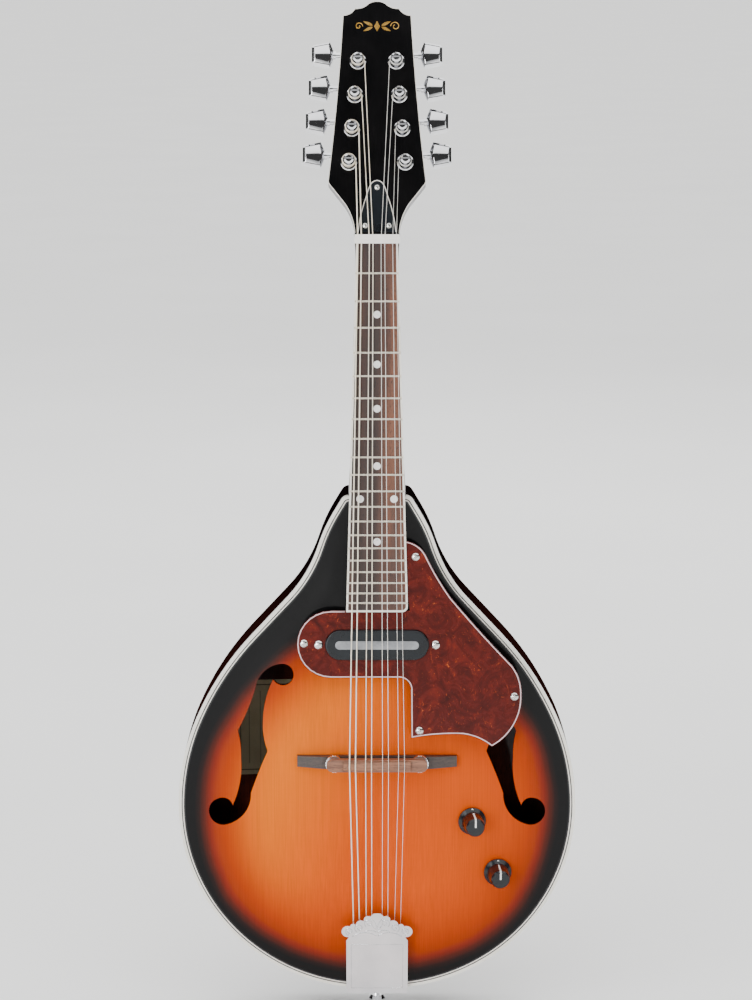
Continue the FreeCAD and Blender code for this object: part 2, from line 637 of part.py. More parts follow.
def string_points(s):
    """Anchor, bridge, nut and post points of string s, 0 to 7 from the bass side."""
    course, half_gap = s // 2, (0.5 if s % 2 else -0.5)
    anchor = V(ANCHOR_X[s], FRONT - ANCHOR_HEIGHT, ANCHOR_Z)
    bridge_x = COURSE_X_BRIDGE[course] + half_gap * COURSE_GAP_BRIDGE
    bridge = V(bridge_x, FRONT - STRING_HEIGHT_BRIDGE, BRIDGE_Z)
    nut = NECK_ORIGIN + NECK_OUT * STRING_HEIGHT_NUT + NECK_UP * 1.5
    nut = nut + V(COURSE_X_NUT[course] + half_gap * COURSE_GAP_NUT, 0, 0)
    _, x, u = tuner_places()[POST_ORDER[s] - 1]
    inner = 1 if x < 0 else -1
    reach = WRAP_R + 0.3 + STRING_R[course]
    post = HEAD_ORIGIN + HEAD_UP * (u - 1.0) + HEAD_OUT * 6.5 + V(x + inner * reach, 0, 0)
    return anchor, bridge, nut, post


def string_segment(s, k, radius):
    points = string_points(s)
    return cylinder(radius, points[k], points[k + 1])


def make_strings():
    strings = []
    for s in range(8):
        radius = STRING_R[s // 2]
        points = string_points(s)
        pieces = [string_segment(s, k, radius) for k in range(3)]
        pieces += [Part.makeSphere(radius, p) for p in points[1:3]]
        loop = Part.makeTorus(1.75, radius, points[0] - V(0, 0, 1.75), HOOK_AXIS)
        strings.append(fuse_all(pieces + [loop]))
    save("strings", *strings)


# ---- bridge ------------------------------------------------------------------------------
WHEEL_X = 28.9
BASE_TOP = 15.5
WHEEL_LOW, WHEEL_HIGH = 16.9, 19.3
SADDLE_HALF = 34.0
STUD_R = 2.0
STUD_TOP = 22.6               # above the rim plane
SADDLE_TRAVEL = 1.2           # how far the thumbwheels lower the saddle


def make_bridge():
    half = 54.0
    front = FRONT - BASE_TOP
    profile = [V(-half, 0, 0), V(-half, FRONT - 11.6, 0), V(-37, front, 0), V(37, front, 0),
               V(half, FRONT - 11.6, 0), V(half, 0, 0)]
    foot = prism(Part.makePolygon(profile + [profile[0]]), V(0, 0, 30))
    foot.translate(V(0, 0, BRIDGE_Z - 15))
    plan = [V(-half, -80, 161.2), V(-20, -80, 160.2), V(20, -80, 160.2), V(half, -80, 161.2),
            V(half, -80, 168.6), V(20, -80, 169.6), V(-20, -80, 169.6), V(-half, -80, 168.6)]
    foot = foot.common(prism(Part.makePolygon(plan + [plan[0]]), V(0, 90, 0))).common(ABOVE_TOP)
    studs = []
    for x in (-WHEEL_X, WHEEL_X):
        low, high = V(x, front + 2.6, BRIDGE_Z), V(x, FRONT - STUD_TOP, BRIDGE_Z)
        studs.append(cylinder(STUD_R, low, high))
        foot = foot.cut(cylinder(STUD_R, low, high))
    save("bridge_base", foot)
    save("bridge_studs", *studs)
    for name, x in (("bass", -WHEEL_X), ("treble", WHEEL_X)):
        wheel = cylinder(5.9, V(x, FRONT - WHEEL_LOW, BRIDGE_Z), V(x, FRONT - WHEEL_HIGH, BRIDGE_Z))
        wheel = wheel.cut(cylinder(STUD_R + CLEAR, V(x, FRONT, BRIDGE_Z), V(x, FRONT - 40, BRIDGE_Z)))
        notches = []
        for k in range(20):
            a = 2 * math.pi * k / 20
            rim = V(x + 6.15 * math.cos(a), FRONT - WHEEL_LOW + 1, BRIDGE_Z + 6.15 * math.sin(a))
            notches.append(cylinder(0.55, rim, rim - V(0, 5, 0)))
        save("thumbwheel_" + name, wheel.cut(fuse_all(notches)))
    save("bridge_saddle", bridge_saddle())


def bridge_saddle():
    low = FRONT - WHEEL_HIGH - 0.03
    thick = 8.4
    end = SADDLE_HALF - thick / 2
    slab = fuse_all([box(-end, end, low - 5.2, low, BRIDGE_Z - thick / 2, BRIDGE_Z + thick / 2)]
                    + [cylinder(thick / 2, V(x, low, BRIDGE_Z), V(x, low - 5.2, BRIDGE_Z))
                       for x in (-end, end)])
    crest = FRONT - STRING_HEIGHT_BRIDGE
    blocks = [slab]
    edge = (-22.6, -11.1, 0, 11.1, 22.6)
    shift = (-0.6, 0.5, -0.3, 0.6)
    for k in range(4):
        ridge = crest + STRING_R[k] + 0.3
        at = BRIDGE_Z + shift[k]
        profile = [V(edge[k], low - 5.0, BRIDGE_Z - 3.9), V(edge[k], low - 5.0, BRIDGE_Z + 3.9),
                   V(edge[k], ridge + 1.0, BRIDGE_Z + 3.3), V(edge[k], ridge, at + 0.5),
                   V(edge[k], ridge, at - 0.5), V(edge[k], ridge + 1.2, BRIDGE_Z - 3.3)]
        blocks.append(prism(Part.makePolygon(profile + [profile[0]]), V(edge[k + 1] - edge[k], 0, 0)))
    saddle = fuse_all(blocks).removeSplitter()
    hole_top = FRONT - STUD_TOP - SADDLE_TRAVEL - 0.5
    holes = [cylinder(STUD_R + 0.3, V(x, FRONT, BRIDGE_Z), V(x, hole_top, BRIDGE_Z))
             for x in (-WHEEL_X, WHEEL_X)]
    return saddle.cut(fuse_all(holes))


# ---- tailpiece and strap button ----------------------------------------------------------
STRING_RISE = math.atan2(STRING_HEIGHT_BRIDGE - ANCHOR_HEIGHT, BRIDGE_Z - ANCHOR_Z)
COVER_LOW = -2.0
COVER_HEIGHT = 4.6            # outer face above the rim plane at the tail end
COVER_UP = V(0, -math.sin(STRING_RISE), math.cos(STRING_RISE))
COVER_OUT = V(0, -math.cos(STRING_RISE), -math.sin(STRING_RISE))
COVER = frame_matrix(V(0, FRONT - COVER_HEIGHT, COVER_LOW), V(1, 0, 0), COVER_UP, COVER_OUT)
HOOK_AXIS = COVER_OUT
COVER_HALF = 21.0
COVER_SHEET = 0.9
BASE_TILT = math.radians(5.0)
BASE_UP = V(0, -math.sin(BASE_TILT), math.cos(BASE_TILT))
BASE_OUT = V(0, -math.cos(BASE_TILT), -math.sin(BASE_TILT))
BASE_FRAME = frame_matrix(V(0, FRONT - 0.25, 0), V(1, 0, 0), BASE_UP, BASE_OUT)
TAIL_SCREWS = ((-12.0, -9.0), (12.0, -9.0))


def cover_outline():
    """Rectangle with a cloud-shaped crest, in the cover's frame."""
    top = 40.5
    edges = [Part.LineSegment(V(0, 0, 0), V(COVER_HALF, 0, 0)).toShape(),
             Part.LineSegment(V(COVER_HALF, 0, 0), V(COVER_HALF, top, 0)).toShape(),
             arc(V(COVER_HALF, top, 0), V(19.8, 42.2, 0), V(19.2, 43.2, 0)),
             arc(V(19.2, 43.2, 0), V(24.2, 47.6, 0), V(18.3, 51.2, 0)),
             arc(V(18.3, 51.2, 0), V(17.2, 53.0, 0), V(14.4, 51.8, 0)),
             arc(V(14.4, 51.8, 0), V(12.3, 55.6, 0), V(8.6, 54.8, 0)),
             arc(V(8.6, 54.8, 0), V(8.1, 58.4, 0), V(4.6, 58.6, 0)),
             arc(V(4.6, 58.6, 0), V(2.6, 60.6, 0), V(0, 61.2, 0))]
    return mirrored_outline(edges)


def make_tailpiece():
    sheet = prism(cover_outline(), V(0, 0, -COVER_SHEET))
    walls = []
    for side in (-1, 1):
        x0, x1 = sorted((side * COVER_HALF, side * (COVER_HALF - COVER_SHEET)))
        points = [V(x0, 0, 0), V(x0, 38, 0), V(x0, 38, -6.6), V(x0, 0, -4.0)]
        walls.append(prism(Part.makePolygon(points + [points[0]]), V(x1 - x0, 0, 0)))
    save("tailpiece_cover", placed(fuse_all([sheet] + walls), COVER))
    half = COVER_HALF - COVER_SHEET - 0.35
    plate = placed(box(-half, half, -1.3, 46, 0, 1.1), BASE_FRAME)
    end = box(-half, half, FRONT - 1.0, 13, -1.3, 0)
    hooks = []
    for x in ANCHOR_X:
        root = V(x, FRONT - 2.5, ANCHOR_Z - 1.75)
        hooks.append(cylinder(1.15, root, root + COVER_OUT * 3.4))
    base = fuse_all([plate, end] + hooks)
    holes = [cylinder(1.6, V(x, y, -5), V(x, y, 5)) for x, y in TAIL_SCREWS] + [button_hole()]
    save("tailpiece_base", base.cut(fuse_all(holes)).removeSplitter())
    button = revolved([(4.6, 1.3), (4.6, 2.6), (3.9, 3.6), (3.7, 8.5), (4.3, 11.6), (5.9, 14.0),
                       (5.9, 16.6), (4.9, 17.4)], V(0, 0, 0), V(0, 0, -1))
    shank = cylinder(1.9, V(0, 0, -2), V(0, 0, 22))
    save("strap_button", button.fuse(shank))


def button_hole():
    return cylinder(1.9, V(0, 0, -5), V(0, 0, 22))


# ---- pickguard and pickup ----------------------------------------------------------------
PICKUP_HALF, PICKUP_R = 34.5, 10.0
BLADE_HALF, BLADE_R = 28.0, 2.8
PICKUP_SCREW_X = 39.2


def racetrack(half, radius, h0, h1, z):
    """A slot-shaped prism across the body, between two heights above the rim plane."""
    y0, y1 = FRONT - h0, FRONT - h1
    end = half - radius
    body = box(-end, end, y1, y0, z - radius, z + radius)
    caps = [cylinder(radius, V(x, y0, z), V(x, y1, z)) for x in (-end, end)]
    return fuse_all([body] + caps).removeSplitter()


def raised(shape):
    """Lean a pickguard piece, drawn parallel to the rim plane, back by the neck's angle at the pickup."""
    pivot = V(0, FRONT - GUARD_HEIGHT, PICKUP_Z)
    return placed(shape, FreeCAD.Placement(V(0, 0, 0), FreeCAD.Rotation(V(1, 0, 0), -NECK_ANGLE), pivot))


def raised_point(point):
    return raised(Part.Vertex(point)).Vertexes[0].Point


def guard_outline():
    y = FRONT - GUARD_HEIGHT
    fb_end = 269.4
    lobe_x, lobe_r = -31.0, 22.7

    def p(x, z):
        return V(x, y, z)
    edges = [Part.LineSegment(p(22.0, fb_end), p(lobe_x, fb_end)).toShape(),
             arc(p(lobe_x, fb_end), p(lobe_x - lobe_r, fb_end - lobe_r), p(lobe_x, fb_end - 2 * lobe_r)),
             Part.LineSegment(p(lobe_x, fb_end - 2 * lobe_r), p(15.2, fb_end - 2 * lobe_r)).toShape(),
             arc(p(15.2, fb_end - 2 * lobe_r), p(20.5, 221.6), p(22.8, 216.4)),
             Part.LineSegment(p(22.8, 216.4), p(23.0, 183.0)).toShape(),
             arc(p(23.0, 183.0), p(42.0, 185.4), p(57.6, 185.6)),
             arc(p(57.6, 185.6), p(68.9, 182.4), p(77.3, 177.2)),
             arc(p(77.3, 177.2), p(92.6, 192.6), p(97.1, 212.6)),
             arc(p(97.1, 212.6), p(95.4, 223.6), p(90.4, 232.6)),
             arc(p(90.4, 232.6), p(69.2, 255.4), p(49.6, 278.0)),
             arc(p(49.6, 278.0), p(40.2, 292.6), p(32.8, 306.6)),
             arc(p(32.8, 306.6), p(27.4, 313.0), p(18.0, 316.6)),
             Part.LineSegment(p(18.0, 316.6), p(15.0, 316.6)).toShape(),
             Part.LineSegment(p(15.0, 316.6), p(22.0, fb_end)).toShape()]
    return Part.Wire(edges)


def make_pickguard():
    guard = prism(guard_outline(), V(0, GUARD_THICK, 0))
    fretboard = placed(fingerboard_prism(-FINGERBOARD_THICK - 12, 3, -0.05), NECK)
    opening = racetrack(PICKUP_HALF + 0.4, PICKUP_R + 0.4, 0, 30, PICKUP_Z)
    posts, holes = [], [opening]
    for x, z in GUARD_SCREWS:
        low, high = V(x, FRONT + 12, z), V(x, FRONT - GUARD_HEIGHT + GUARD_THICK, z)
        post = cylinder(3.4, low, high).cut(cylinder(1.3, low, high))
        posts.append(raised(post).common(ABOVE_TOP))
        holes.append(cylinder(1.3, low, V(x, FRONT - 20, z)))
    for side in (-1, 1):
        x = side * PICKUP_SCREW_X
        holes.append(cylinder(1.5 + CLEAR, V(x, FRONT, PICKUP_Z), V(x, FRONT - 20, PICKUP_Z)))
    save("pickguard", raised(guard.cut(fuse_all(holes))).cut(fretboard))
    save("pickguard_posts", *posts)


def make_pickup():
    case = racetrack(PICKUP_HALF, PICKUP_R, 9.2, 16.6, PICKUP_Z)
    front_edges = [e for e in case.Edges if e.BoundBox.YMax < FRONT - 16.5]
    case = case.makeFillet(0.9, front_edges)
    tabs = racetrack(PICKUP_SCREW_X + 3.6, 3.6, 9.2, 10.4, PICKUP_Z)
    case = case.fuse(tabs).cut(racetrack(BLADE_HALF + 0.05, BLADE_R + 0.05, 12, 18, PICKUP_Z))
    for side in (-1, 1):
        x = side * PICKUP_SCREW_X
        case = case.cut(cylinder(1.5 + CLEAR, V(x, FRONT, PICKUP_Z), V(x, FRONT - 20, PICKUP_Z)))
        seat = V(x, FRONT - GUARD_HEIGHT - 0.02, PICKUP_Z)
        shank = cylinder(1.5, V(x, FRONT - 8.2, PICKUP_Z), seat - V(0, 0.2, 0))
        head = screw_head(2.8, seat, V(0, -1, 0))
        save("pickup_screw_" + ("bass" if side < 0 else "treble"), raised(shank.fuse(head)))
    save("pickup_cover", raised(case))
    save("pickup_blade", raised(racetrack(BLADE_HALF, BLADE_R, 12, 17.0, PICKUP_Z)))


def screw_head(radius, base, out):
    """A round head with a cross recess."""
    head = revolved([(radius, 0), (radius, 0.35), (radius * 0.72, 1.05), (radius * 0.3, 1.35)],
                    V(0, 0, 0), V(0, 0, 1))
    cross = fuse_all([box(-radius * 0.55, radius * 0.55, -0.35, 0.35, 0.5, 2),
                      box(-0.35, 0.35, -radius * 0.55, radius * 0.55, 0.5, 2)])
    head = head.cut(cross)
    head.Placement = FreeCAD.Placement(base, FreeCAD.Rotation(V(0, 0, 1), out))
    return head


TRUSS_COVER_SCREWS = ((0.0, 37.4), (-7.8, 11.6), (7.8, 11.6))


def make_truss_cover():
    low = 7.4
    edges = [Part.LineSegment(V(0, low, 0), V(12.7, low, 0)).toShape(),
             arc(V(12.7, low, 0), V(10.6, 20.5, 0), V(7.3, 31.5, 0)),
             arc(V(7.3, 31.5, 0), V(6.0, 36.0, 0), V(4.6, 39.4, 0)),
             arc(V(4.6, 39.4, 0), V(2.6, 41.5, 0), V(0, 42.4, 0))]
    cover = prism(mirrored_outline(edges), V(0, 0, 1.8))
    holes = [cylinder(1.3, V(x, u, -1), V(x, u, 3)) for x, u in TRUSS_COVER_SCREWS]
    save("truss_rod_cover", placed(cover.cut(fuse_all(holes)), HEAD))


def wood_screw(base, out, length, head=2.6):
    shank = cylinder(1.3, base - out * length, base + out * 0.2)
    return shank.fuse(screw_head(head, base, out))


def make_wood_screws():
    """The small cross-head screws: pickguard, truss rod cover and tailpiece."""
    screws = []
    for x, z in GUARD_SCREWS:
        seat = raised_point(V(x, FRONT - GUARD_HEIGHT, z))
        depth = FRONT - seat.y - top_height(x, seat.z) - 0.8
        screws.append(raised(wood_screw(V(x, FRONT - GUARD_HEIGHT, z), V(0, -1, 0), depth)))
    for x, u in TRUSS_COVER_SCREWS:
        screws.append(placed(wood_screw(V(x, u, 1.8), V(0, 0, 1), 1.8, 1.9), HEAD))
    for x, y in TAIL_SCREWS:
        screws.append(wood_screw(V(x, y, -1.3), V(0, 0, -1), 1.3))
    save("wood_screws", *screws)


# ---- controls ----------------------------------------------------------------------------
POT_BUSH_R = 3.6
KNOB_SKIRT_R = 9.5
JACK_ANGLE = -48.0            # degrees round the lower bout, from the treble side
JACK_R = 3.2


def make_controls():
    pots = []
    for name, (x, z) in KNOBS.items():
        seat, out = top_point(x, z), top_normal(x, z)
        knob = revolved([(KNOB_SKIRT_R, 0.9), (KNOB_SKIRT_R, 2.2), (8.3, 3.4), (7.4, 4.4), (6.4, 15.6),
                         (5.6, 16.8)], V(0, 0, 0), V(0, 0, 1))
        knob = knob.cut(cylinder(3.75, V(0, 0, 0), V(0, 0, 4.2)))
        knob = knob.fuse(cylinder(2.9, V(0, 0, -12), V(0, 0, 5)))
        knob.Placement = FreeCAD.Placement(seat, FreeCAD.Rotation(V(0, 0, 1), out))
        save(name + "_knob", knob)
        can_half = [(8.2, -14.5), (8.2, -6.0), (POT_BUSH_R, -6.0), (POT_BUSH_R, 0.6)]
        can = revolved(can_half, V(0, 0, 0), V(0, 0, 1))
        can = can.cut(cylinder(2.9 + CLEAR, V(0, 0, -12.5), V(0, 0, 3)))
        can.Placement = knob.Placement
        pots.append(can)
    save("control_pots", *pots)
    save("output_jack", jack_socket())
    make_wiring()


def jack_axis():
    """Outward direction of the output jack, and its place on the outside of the rim."""
    a = math.radians(JACK_ANGLE)
    out = V(math.cos(a), 0, math.sin(a))
    return V(5.3, 0, 130) + out * 130, out


def jack_hole(extra=0.0):
    seat, out = jack_axis()
    return cylinder(4.8 + extra, seat - out * 30, seat + out * 3)


def jack_socket():
    seat, out = jack_axis()
    body = revolved([(7.5, -16), (7.5, -3.2), (4.8, -3.2), (4.8, 0.4), (8.6, 0.4), (8.6, 1.2), (6.9, 1.2),
                     (6.9, 3.0), (4.9, 3.0), (4.9, 4.2)], V(0, 0, 0), V(0, 0, 1))
    body = body.cut(cylinder(JACK_R, V(0, 0, -14), V(0, 0, 6)))
    body.Placement = FreeCAD.Placement(seat, FreeCAD.Rotation(V(0, 0, 1), out))
    return body


def wire_run(points, radius):
    """A lead along straight runs joined by tangent arcs."""
    edges = []
    here = points[0]
    for i in range(1, len(points) - 1):
        a, corner, b = points[i - 1], points[i], points[i + 1]
        back, ahead = (a - corner), (b - corner)
        trim = 0.45 * min(back.Length, ahead.Length)
        p = corner + back * (trim / back.Length)
        q = corner + ahead * (trim / ahead.Length)
        turn = math.pi - back.getAngle(ahead)
        r = trim / math.tan(turn / 2)
        middle = (p + q) * 0.5 - corner
        centre_distance = math.hypot(r, trim)
        m = corner + middle * ((centre_distance - r) / middle.Length)
        edges.append(Part.LineSegment(here, p).toShape())
        edges.append(arc(p, m, q))
        here = q
    edges.append(Part.LineSegment(here, points[-1]).toShape())
    path = Part.Wire(edges)
    start = points[1] - points[0]
    section = Part.Wire(Part.makeCircle(radius, points[0], start))
    return path.makePipeShell([section], True, False)


def make_wiring():
    """Two leads in the body: pot to pot and pot to jack."""
    seat, out = jack_axis()
    jack_end = seat - out * 16
    points = {}
    for name, (x, z) in KNOBS.items():
        inward = top_normal(x, z) * -1
        points[name] = (top_point(x, z) + inward * 14.5, top_point(x, z) + inward * 26)
    a, a_in = points["volume"]
    b, b_in = points["tone"]
    aside = V(5, 0, 0)
    second = b + aside + (b_in - b) * 0.08      # clear of the leaning can
    leads = [wire_run([a, a_in, b_in, b], 0.9),
             wire_run([second, b_in + aside, jack_end - out * 14, jack_end], 0.9)]
    save("wiring", *leads)


make_body()
make_neck()
make_fingerboard()
make_tuners()
make_strings()
make_bridge()
make_tailpiece()
make_pickguard()
make_pickup()
make_truss_cover()
make_wood_screws()
make_controls()
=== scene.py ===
"""Looks of the electro-acoustic mandolin: finishes, fine details, studio light and camera."""
import json
import math

import bpy
from mathutils import Matrix, Vector


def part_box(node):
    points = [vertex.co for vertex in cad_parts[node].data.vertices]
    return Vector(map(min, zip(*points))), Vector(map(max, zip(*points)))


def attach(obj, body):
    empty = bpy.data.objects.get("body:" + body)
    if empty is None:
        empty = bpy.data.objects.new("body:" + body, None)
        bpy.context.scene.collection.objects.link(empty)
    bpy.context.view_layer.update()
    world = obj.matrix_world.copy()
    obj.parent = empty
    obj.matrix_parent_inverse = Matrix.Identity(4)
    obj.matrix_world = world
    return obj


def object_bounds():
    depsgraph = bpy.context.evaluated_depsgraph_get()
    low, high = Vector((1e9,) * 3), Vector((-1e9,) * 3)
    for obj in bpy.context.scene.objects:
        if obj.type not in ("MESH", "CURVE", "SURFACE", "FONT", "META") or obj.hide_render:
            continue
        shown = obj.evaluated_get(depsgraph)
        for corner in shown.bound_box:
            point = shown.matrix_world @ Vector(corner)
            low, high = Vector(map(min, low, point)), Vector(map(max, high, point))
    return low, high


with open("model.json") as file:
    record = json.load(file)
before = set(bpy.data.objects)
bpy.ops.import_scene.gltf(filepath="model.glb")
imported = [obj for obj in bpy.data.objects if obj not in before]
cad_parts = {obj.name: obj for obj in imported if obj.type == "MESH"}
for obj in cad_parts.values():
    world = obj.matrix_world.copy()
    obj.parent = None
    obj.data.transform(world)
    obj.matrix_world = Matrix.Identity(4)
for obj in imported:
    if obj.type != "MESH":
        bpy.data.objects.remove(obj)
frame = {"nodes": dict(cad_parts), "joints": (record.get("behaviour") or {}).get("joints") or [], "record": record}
CAD_LOW, CAD_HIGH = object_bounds()
MM = 0.001


# ---- colours and node trees ---------------------------------------------------------------
def rgb(code):
    """A linear colour from a six-digit sRGB code."""
    parts = [int(code[i:i + 2], 16) / 255 for i in (0, 2, 4)]
    linear = [c / 12.92 if c <= 0.04045 else ((c + 0.055) / 1.055) ** 2.4 for c in parts]
    return (*linear, 1.0)


class Finish:
    """A procedural finish: a principled surface and short names for the nodes that feed it."""

    def __init__(self, name):
        self.material = bpy.data.materials.new(name)
        self.material.use_nodes = True
        self.tree = self.material.node_tree
        self.surface = self.tree.nodes["Principled BSDF"]
        where = self.tree.nodes.new("ShaderNodeTexCoord")
        self.place = where.outputs["Object"]
        self.normal = where.outputs["Normal"]
        self.x, self.y, self.z = self.split(self.place)

    def feed(self, socket, value):
        if isinstance(value, bpy.types.NodeSocket):
            self.tree.links.new(value, socket)
        else:
            socket.default_value = value

    def split(self, vector):
        node = self.tree.nodes.new("ShaderNodeSeparateXYZ")
        self.feed(node.inputs[0], vector)
        return node.outputs[0], node.outputs[1], node.outputs[2]

    def join(self, x, y, z):
        node = self.tree.nodes.new("ShaderNodeCombineXYZ")
        for socket, value in zip(node.inputs, (x, y, z)):
            self.feed(socket, value)
        return node.outputs[0]

    def math(self, operation, *values):
        node = self.tree.nodes.new("ShaderNodeMath")
        node.operation = operation
        for socket, value in zip(node.inputs, values):
            self.feed(socket, value)
        return node.outputs[0]

    def stretched(self, x, y, z):
        """Object coordinates in metres, multiplied along each axis."""
        node = self.tree.nodes.new("ShaderNodeVectorMath")
        node.operation = "MULTIPLY"
        self.feed(node.inputs[0], self.place)
        node.inputs[1].default_value = (x, y, z)
        return node.outputs[0]

    def noise(self, vector, detail=2.0, roughness=0.5, distortion=0.0):
        """Noise with features about one unit across in the stretched coordinates."""
        node = self.tree.nodes.new("ShaderNodeTexNoise")
        self.feed(node.inputs["Vector"], vector)
        node.inputs["Scale"].default_value = 1.0
        node.inputs["Detail"].default_value = detail
        node.inputs["Roughness"].default_value = roughness
        node.inputs["Distortion"].default_value = distortion
        return node.outputs[0]

    def span(self, value, low, high, to_low=0.0, to_high=1.0):
        """value carried smoothly from low..high to to_low..to_high, and held outside."""
        node = self.tree.nodes.new("ShaderNodeMapRange")
        node.interpolation_type = "SMOOTHSTEP"
        for socket, v in zip(node.inputs, (value, low, high, to_low, to_high)):
            self.feed(socket, v)
        return node.outputs[0]

    def ramp(self, value, stops):
        node = self.tree.nodes.new("ShaderNodeValToRGB")
        elements = node.color_ramp.elements
        while len(elements) < len(stops):
            elements.new(0.5)
        for element, (position, code) in zip(elements, stops):
            element.position = position
            element.color = rgb(code)
        self.feed(node.inputs[0], value)
        return node.outputs[0]

    def curve(self, value, points):
        """A smooth curve through (0..1, height) points."""
        node = self.tree.nodes.new("ShaderNodeFloatCurve")
        line = node.mapping.curves[0]
        line.points[0].location = points[0]
        line.points[1].location = points[-1]
        for point in points[1:-1]:
            line.points.new(*point)
        node.mapping.update()
        self.feed(node.inputs["Value"], value)
        return node.outputs[0]

    def mix(self, share, a, b, blend="MIX"):
        node = self.tree.nodes.new("ShaderNodeMix")
        node.data_type = "RGBA"
        node.blend_type = blend
        for index, value in ((0, share), (6, a), (7, b)):
            self.feed(node.inputs[index], rgb(value) if isinstance(value, str) else value)
        return node.outputs[2]

    def shade(self, colour, value, amount):
        """colour made darker or lighter by a 0..1 value around its middle."""
        strength = self.math("MULTIPLY_ADD", value, amount, 1 - amount / 2)
        grey = self.join(strength, strength, strength)
        return self.mix(1.0, colour, grey, "MULTIPLY")

    def bump(self, height, distance, strength):
        node = self.tree.nodes.new("ShaderNodeBump")
        self.feed(node.inputs["Height"], height)
        node.inputs["Distance"].default_value = distance
        node.inputs["Strength"].default_value = strength
        self.feed(self.surface.inputs["Normal"], node.outputs[0])

    def lacquer(self, colour, roughness, coat_roughness, coat=1.0, specular=0.05):
        """Thin clear coat over a matt colour, with little mirror of its own seen straight on."""
        return self.set(Base_Color=colour, Roughness=roughness, Specular_IOR_Level=specular,
                        Coat_Weight=coat, Coat_IOR=1.22, Coat_Roughness=coat_roughness)

    def set(self, **values):
        for key, value in values.items():
            socket = self.surface.inputs[key.replace("_", " ")]
            self.feed(socket, rgb(value) if isinstance(value, str) else value)
        return self.material


# ---- wood ---------------------------------------------------------------------------------
ARCH_CENTRE = 0.150
# distance from the arch's centre at which the sunburst turns black, head end to tail end
BURST_REACH = ((0.0, 0.118), (0.083, 0.116), (0.167, 0.113), (0.25, 0.111), (0.333, 0.113),
               (0.417, 0.118), (0.5, 0.1225), (0.583, 0.128), (0.667, 0.1345), (0.75, 0.1405),
               (0.833, 0.1420), (0.917, 0.1415), (1.0, 0.1390))
BURST_WIDTH = 0.060
CURVE_SCALE = 5.0


def burst_share(f):
    """0 where the sunburst is black, rising to 1 sixty millimetres further in."""
    dz = f.math("SUBTRACT", f.z, ARCH_CENTRE)
    radius = f.math("SQRT", f.math("ADD", f.math("MULTIPLY", f.x, f.x), f.math("MULTIPLY", dz, dz)))
    angle = f.math("DIVIDE", f.math("ARCTAN2", f.math("ABSOLUTE", f.x), dz), math.pi)
    reach = f.curve(angle, [(a, r * CURVE_SCALE) for a, r in BURST_REACH])
    reach = f.math("DIVIDE", reach, CURVE_SCALE)
    cloud = f.noise(f.stretched(14, 14, 14), 2.0)
    reach = f.math("MULTIPLY_ADD", f.math("SUBTRACT", cloud, 0.5), 0.007, reach)
    return f.math("DIVIDE", f.math("SUBTRACT", reach, radius), BURST_WIDTH)


def fine_grain(f, pitch, along):
    """Straight grain lines that run up Z, spaced across X."""
    lines = f.noise(f.stretched(1 / pitch, 0.35 / pitch, 1 / along), 4.0, 0.65)
    return f.span(lines, 0.3, 0.7)


def pores(f, pitch, along, low=0.56, high=0.66):
    """Short dark pores of an open-grained wood, running up Z."""
    return f.span(f.noise(f.stretched(1 / pitch, 1 / pitch, 1 / along), 2.0, 0.7), low, high)


def spruce_top():
    f = Finish("sunburst_spruce")
    share = burst_share(f)
    colour = f.ramp(share, [(0.0, "070708"), (0.05, "200d0a"), (0.11, "4c180c"), (0.17, "76200e"),
                            (0.24, "923006"), (0.32, "a23600"), (0.42, "ae3d00"), (0.60, "bd4400"),
                            (1.0, "cc4d00")])
    # painted highlight: the amber middle is lightened towards orange on the left (-x) and towards the neck end,
    # where the light falls
    lit = f.span(f.math("MULTIPLY_ADD", f.x, -1.0, f.math("MULTIPLY", f.z, 0.5)), 0.05, 0.17)
    painted_highlight_colour = f.mix(f.math("MULTIPLY", lit, f.span(share, 0.3, 0.9, 0.0, 0.62)), colour, "e87c00")
    grain = fine_grain(f, 0.00075, 0.09)
    broad = f.noise(f.stretched(95, 30, 7), 2.0)
    silk = f.noise(f.stretched(60, 60, 420), 3.0)
    colour = f.shade(painted_highlight_colour, grain, 0.16)
    colour = f.shade(colour, broad, 0.18)
    colour = f.shade(colour, silk, 0.05)
    facing = f.math("MULTIPLY", f.split(f.normal)[1], -1.0)
    colour = f.mix(f.span(facing, 0.25, 0.55), "1c0c07", colour)
    colour = f.mix(f.span(facing, -0.2, -0.6), colour, "a67c4a")
    f.bump(grain, 0.00002, 0.35)
    f.lacquer(colour, f.span(grain, 0, 1, 0.40, 0.50),
              f.span(f.noise(f.stretched(40, 40, 40)), 0.3, 0.7, 0.05, 0.10), specular=0.03)
    return f.set(Coat_IOR=f.span(share, 0.45, 0.02, 1.12, 1.25))


def mahogany():
    f = Finish("stained_mahogany")
    share = burst_share(f)
    colour = f.ramp(share, [(0.0, "220a07"), (0.2, "2c0f08"), (0.5, "46190d"), (1.0, "6a2b15")])
    grain = fine_grain(f, 0.0022, 0.12)
    ribbon = f.noise(f.stretched(60, 60, 6), 3.0, 0.5, 0.6)
    colour = f.shade(colour, grain, 0.45)
    colour = f.shade(colour, ribbon, 0.55)
    colour = f.mix(f.math("MULTIPLY", pores(f, 0.00045, 0.006), 0.75), colour, "0c0403")
    shadow = f.math("MAXIMUM", f.span(f.z, 0.22, 0.31), f.span(share, 0.10, -0.05, 0.0, 0.35))
    colour = f.mix(shadow, colour, "090404")
    f.bump(grain, 0.00002, 0.3)
    facing = f.span(f.math("ABSOLUTE", f.split(f.normal)[1]), 0.3, 0.7)
    return f.lacquer(colour, f.span(grain, 0, 1, 0.42, 0.52), f.span(ribbon, 0.3, 0.7, 0.05, 0.10),
                     facing, f.math("MULTIPLY", facing, 0.10))


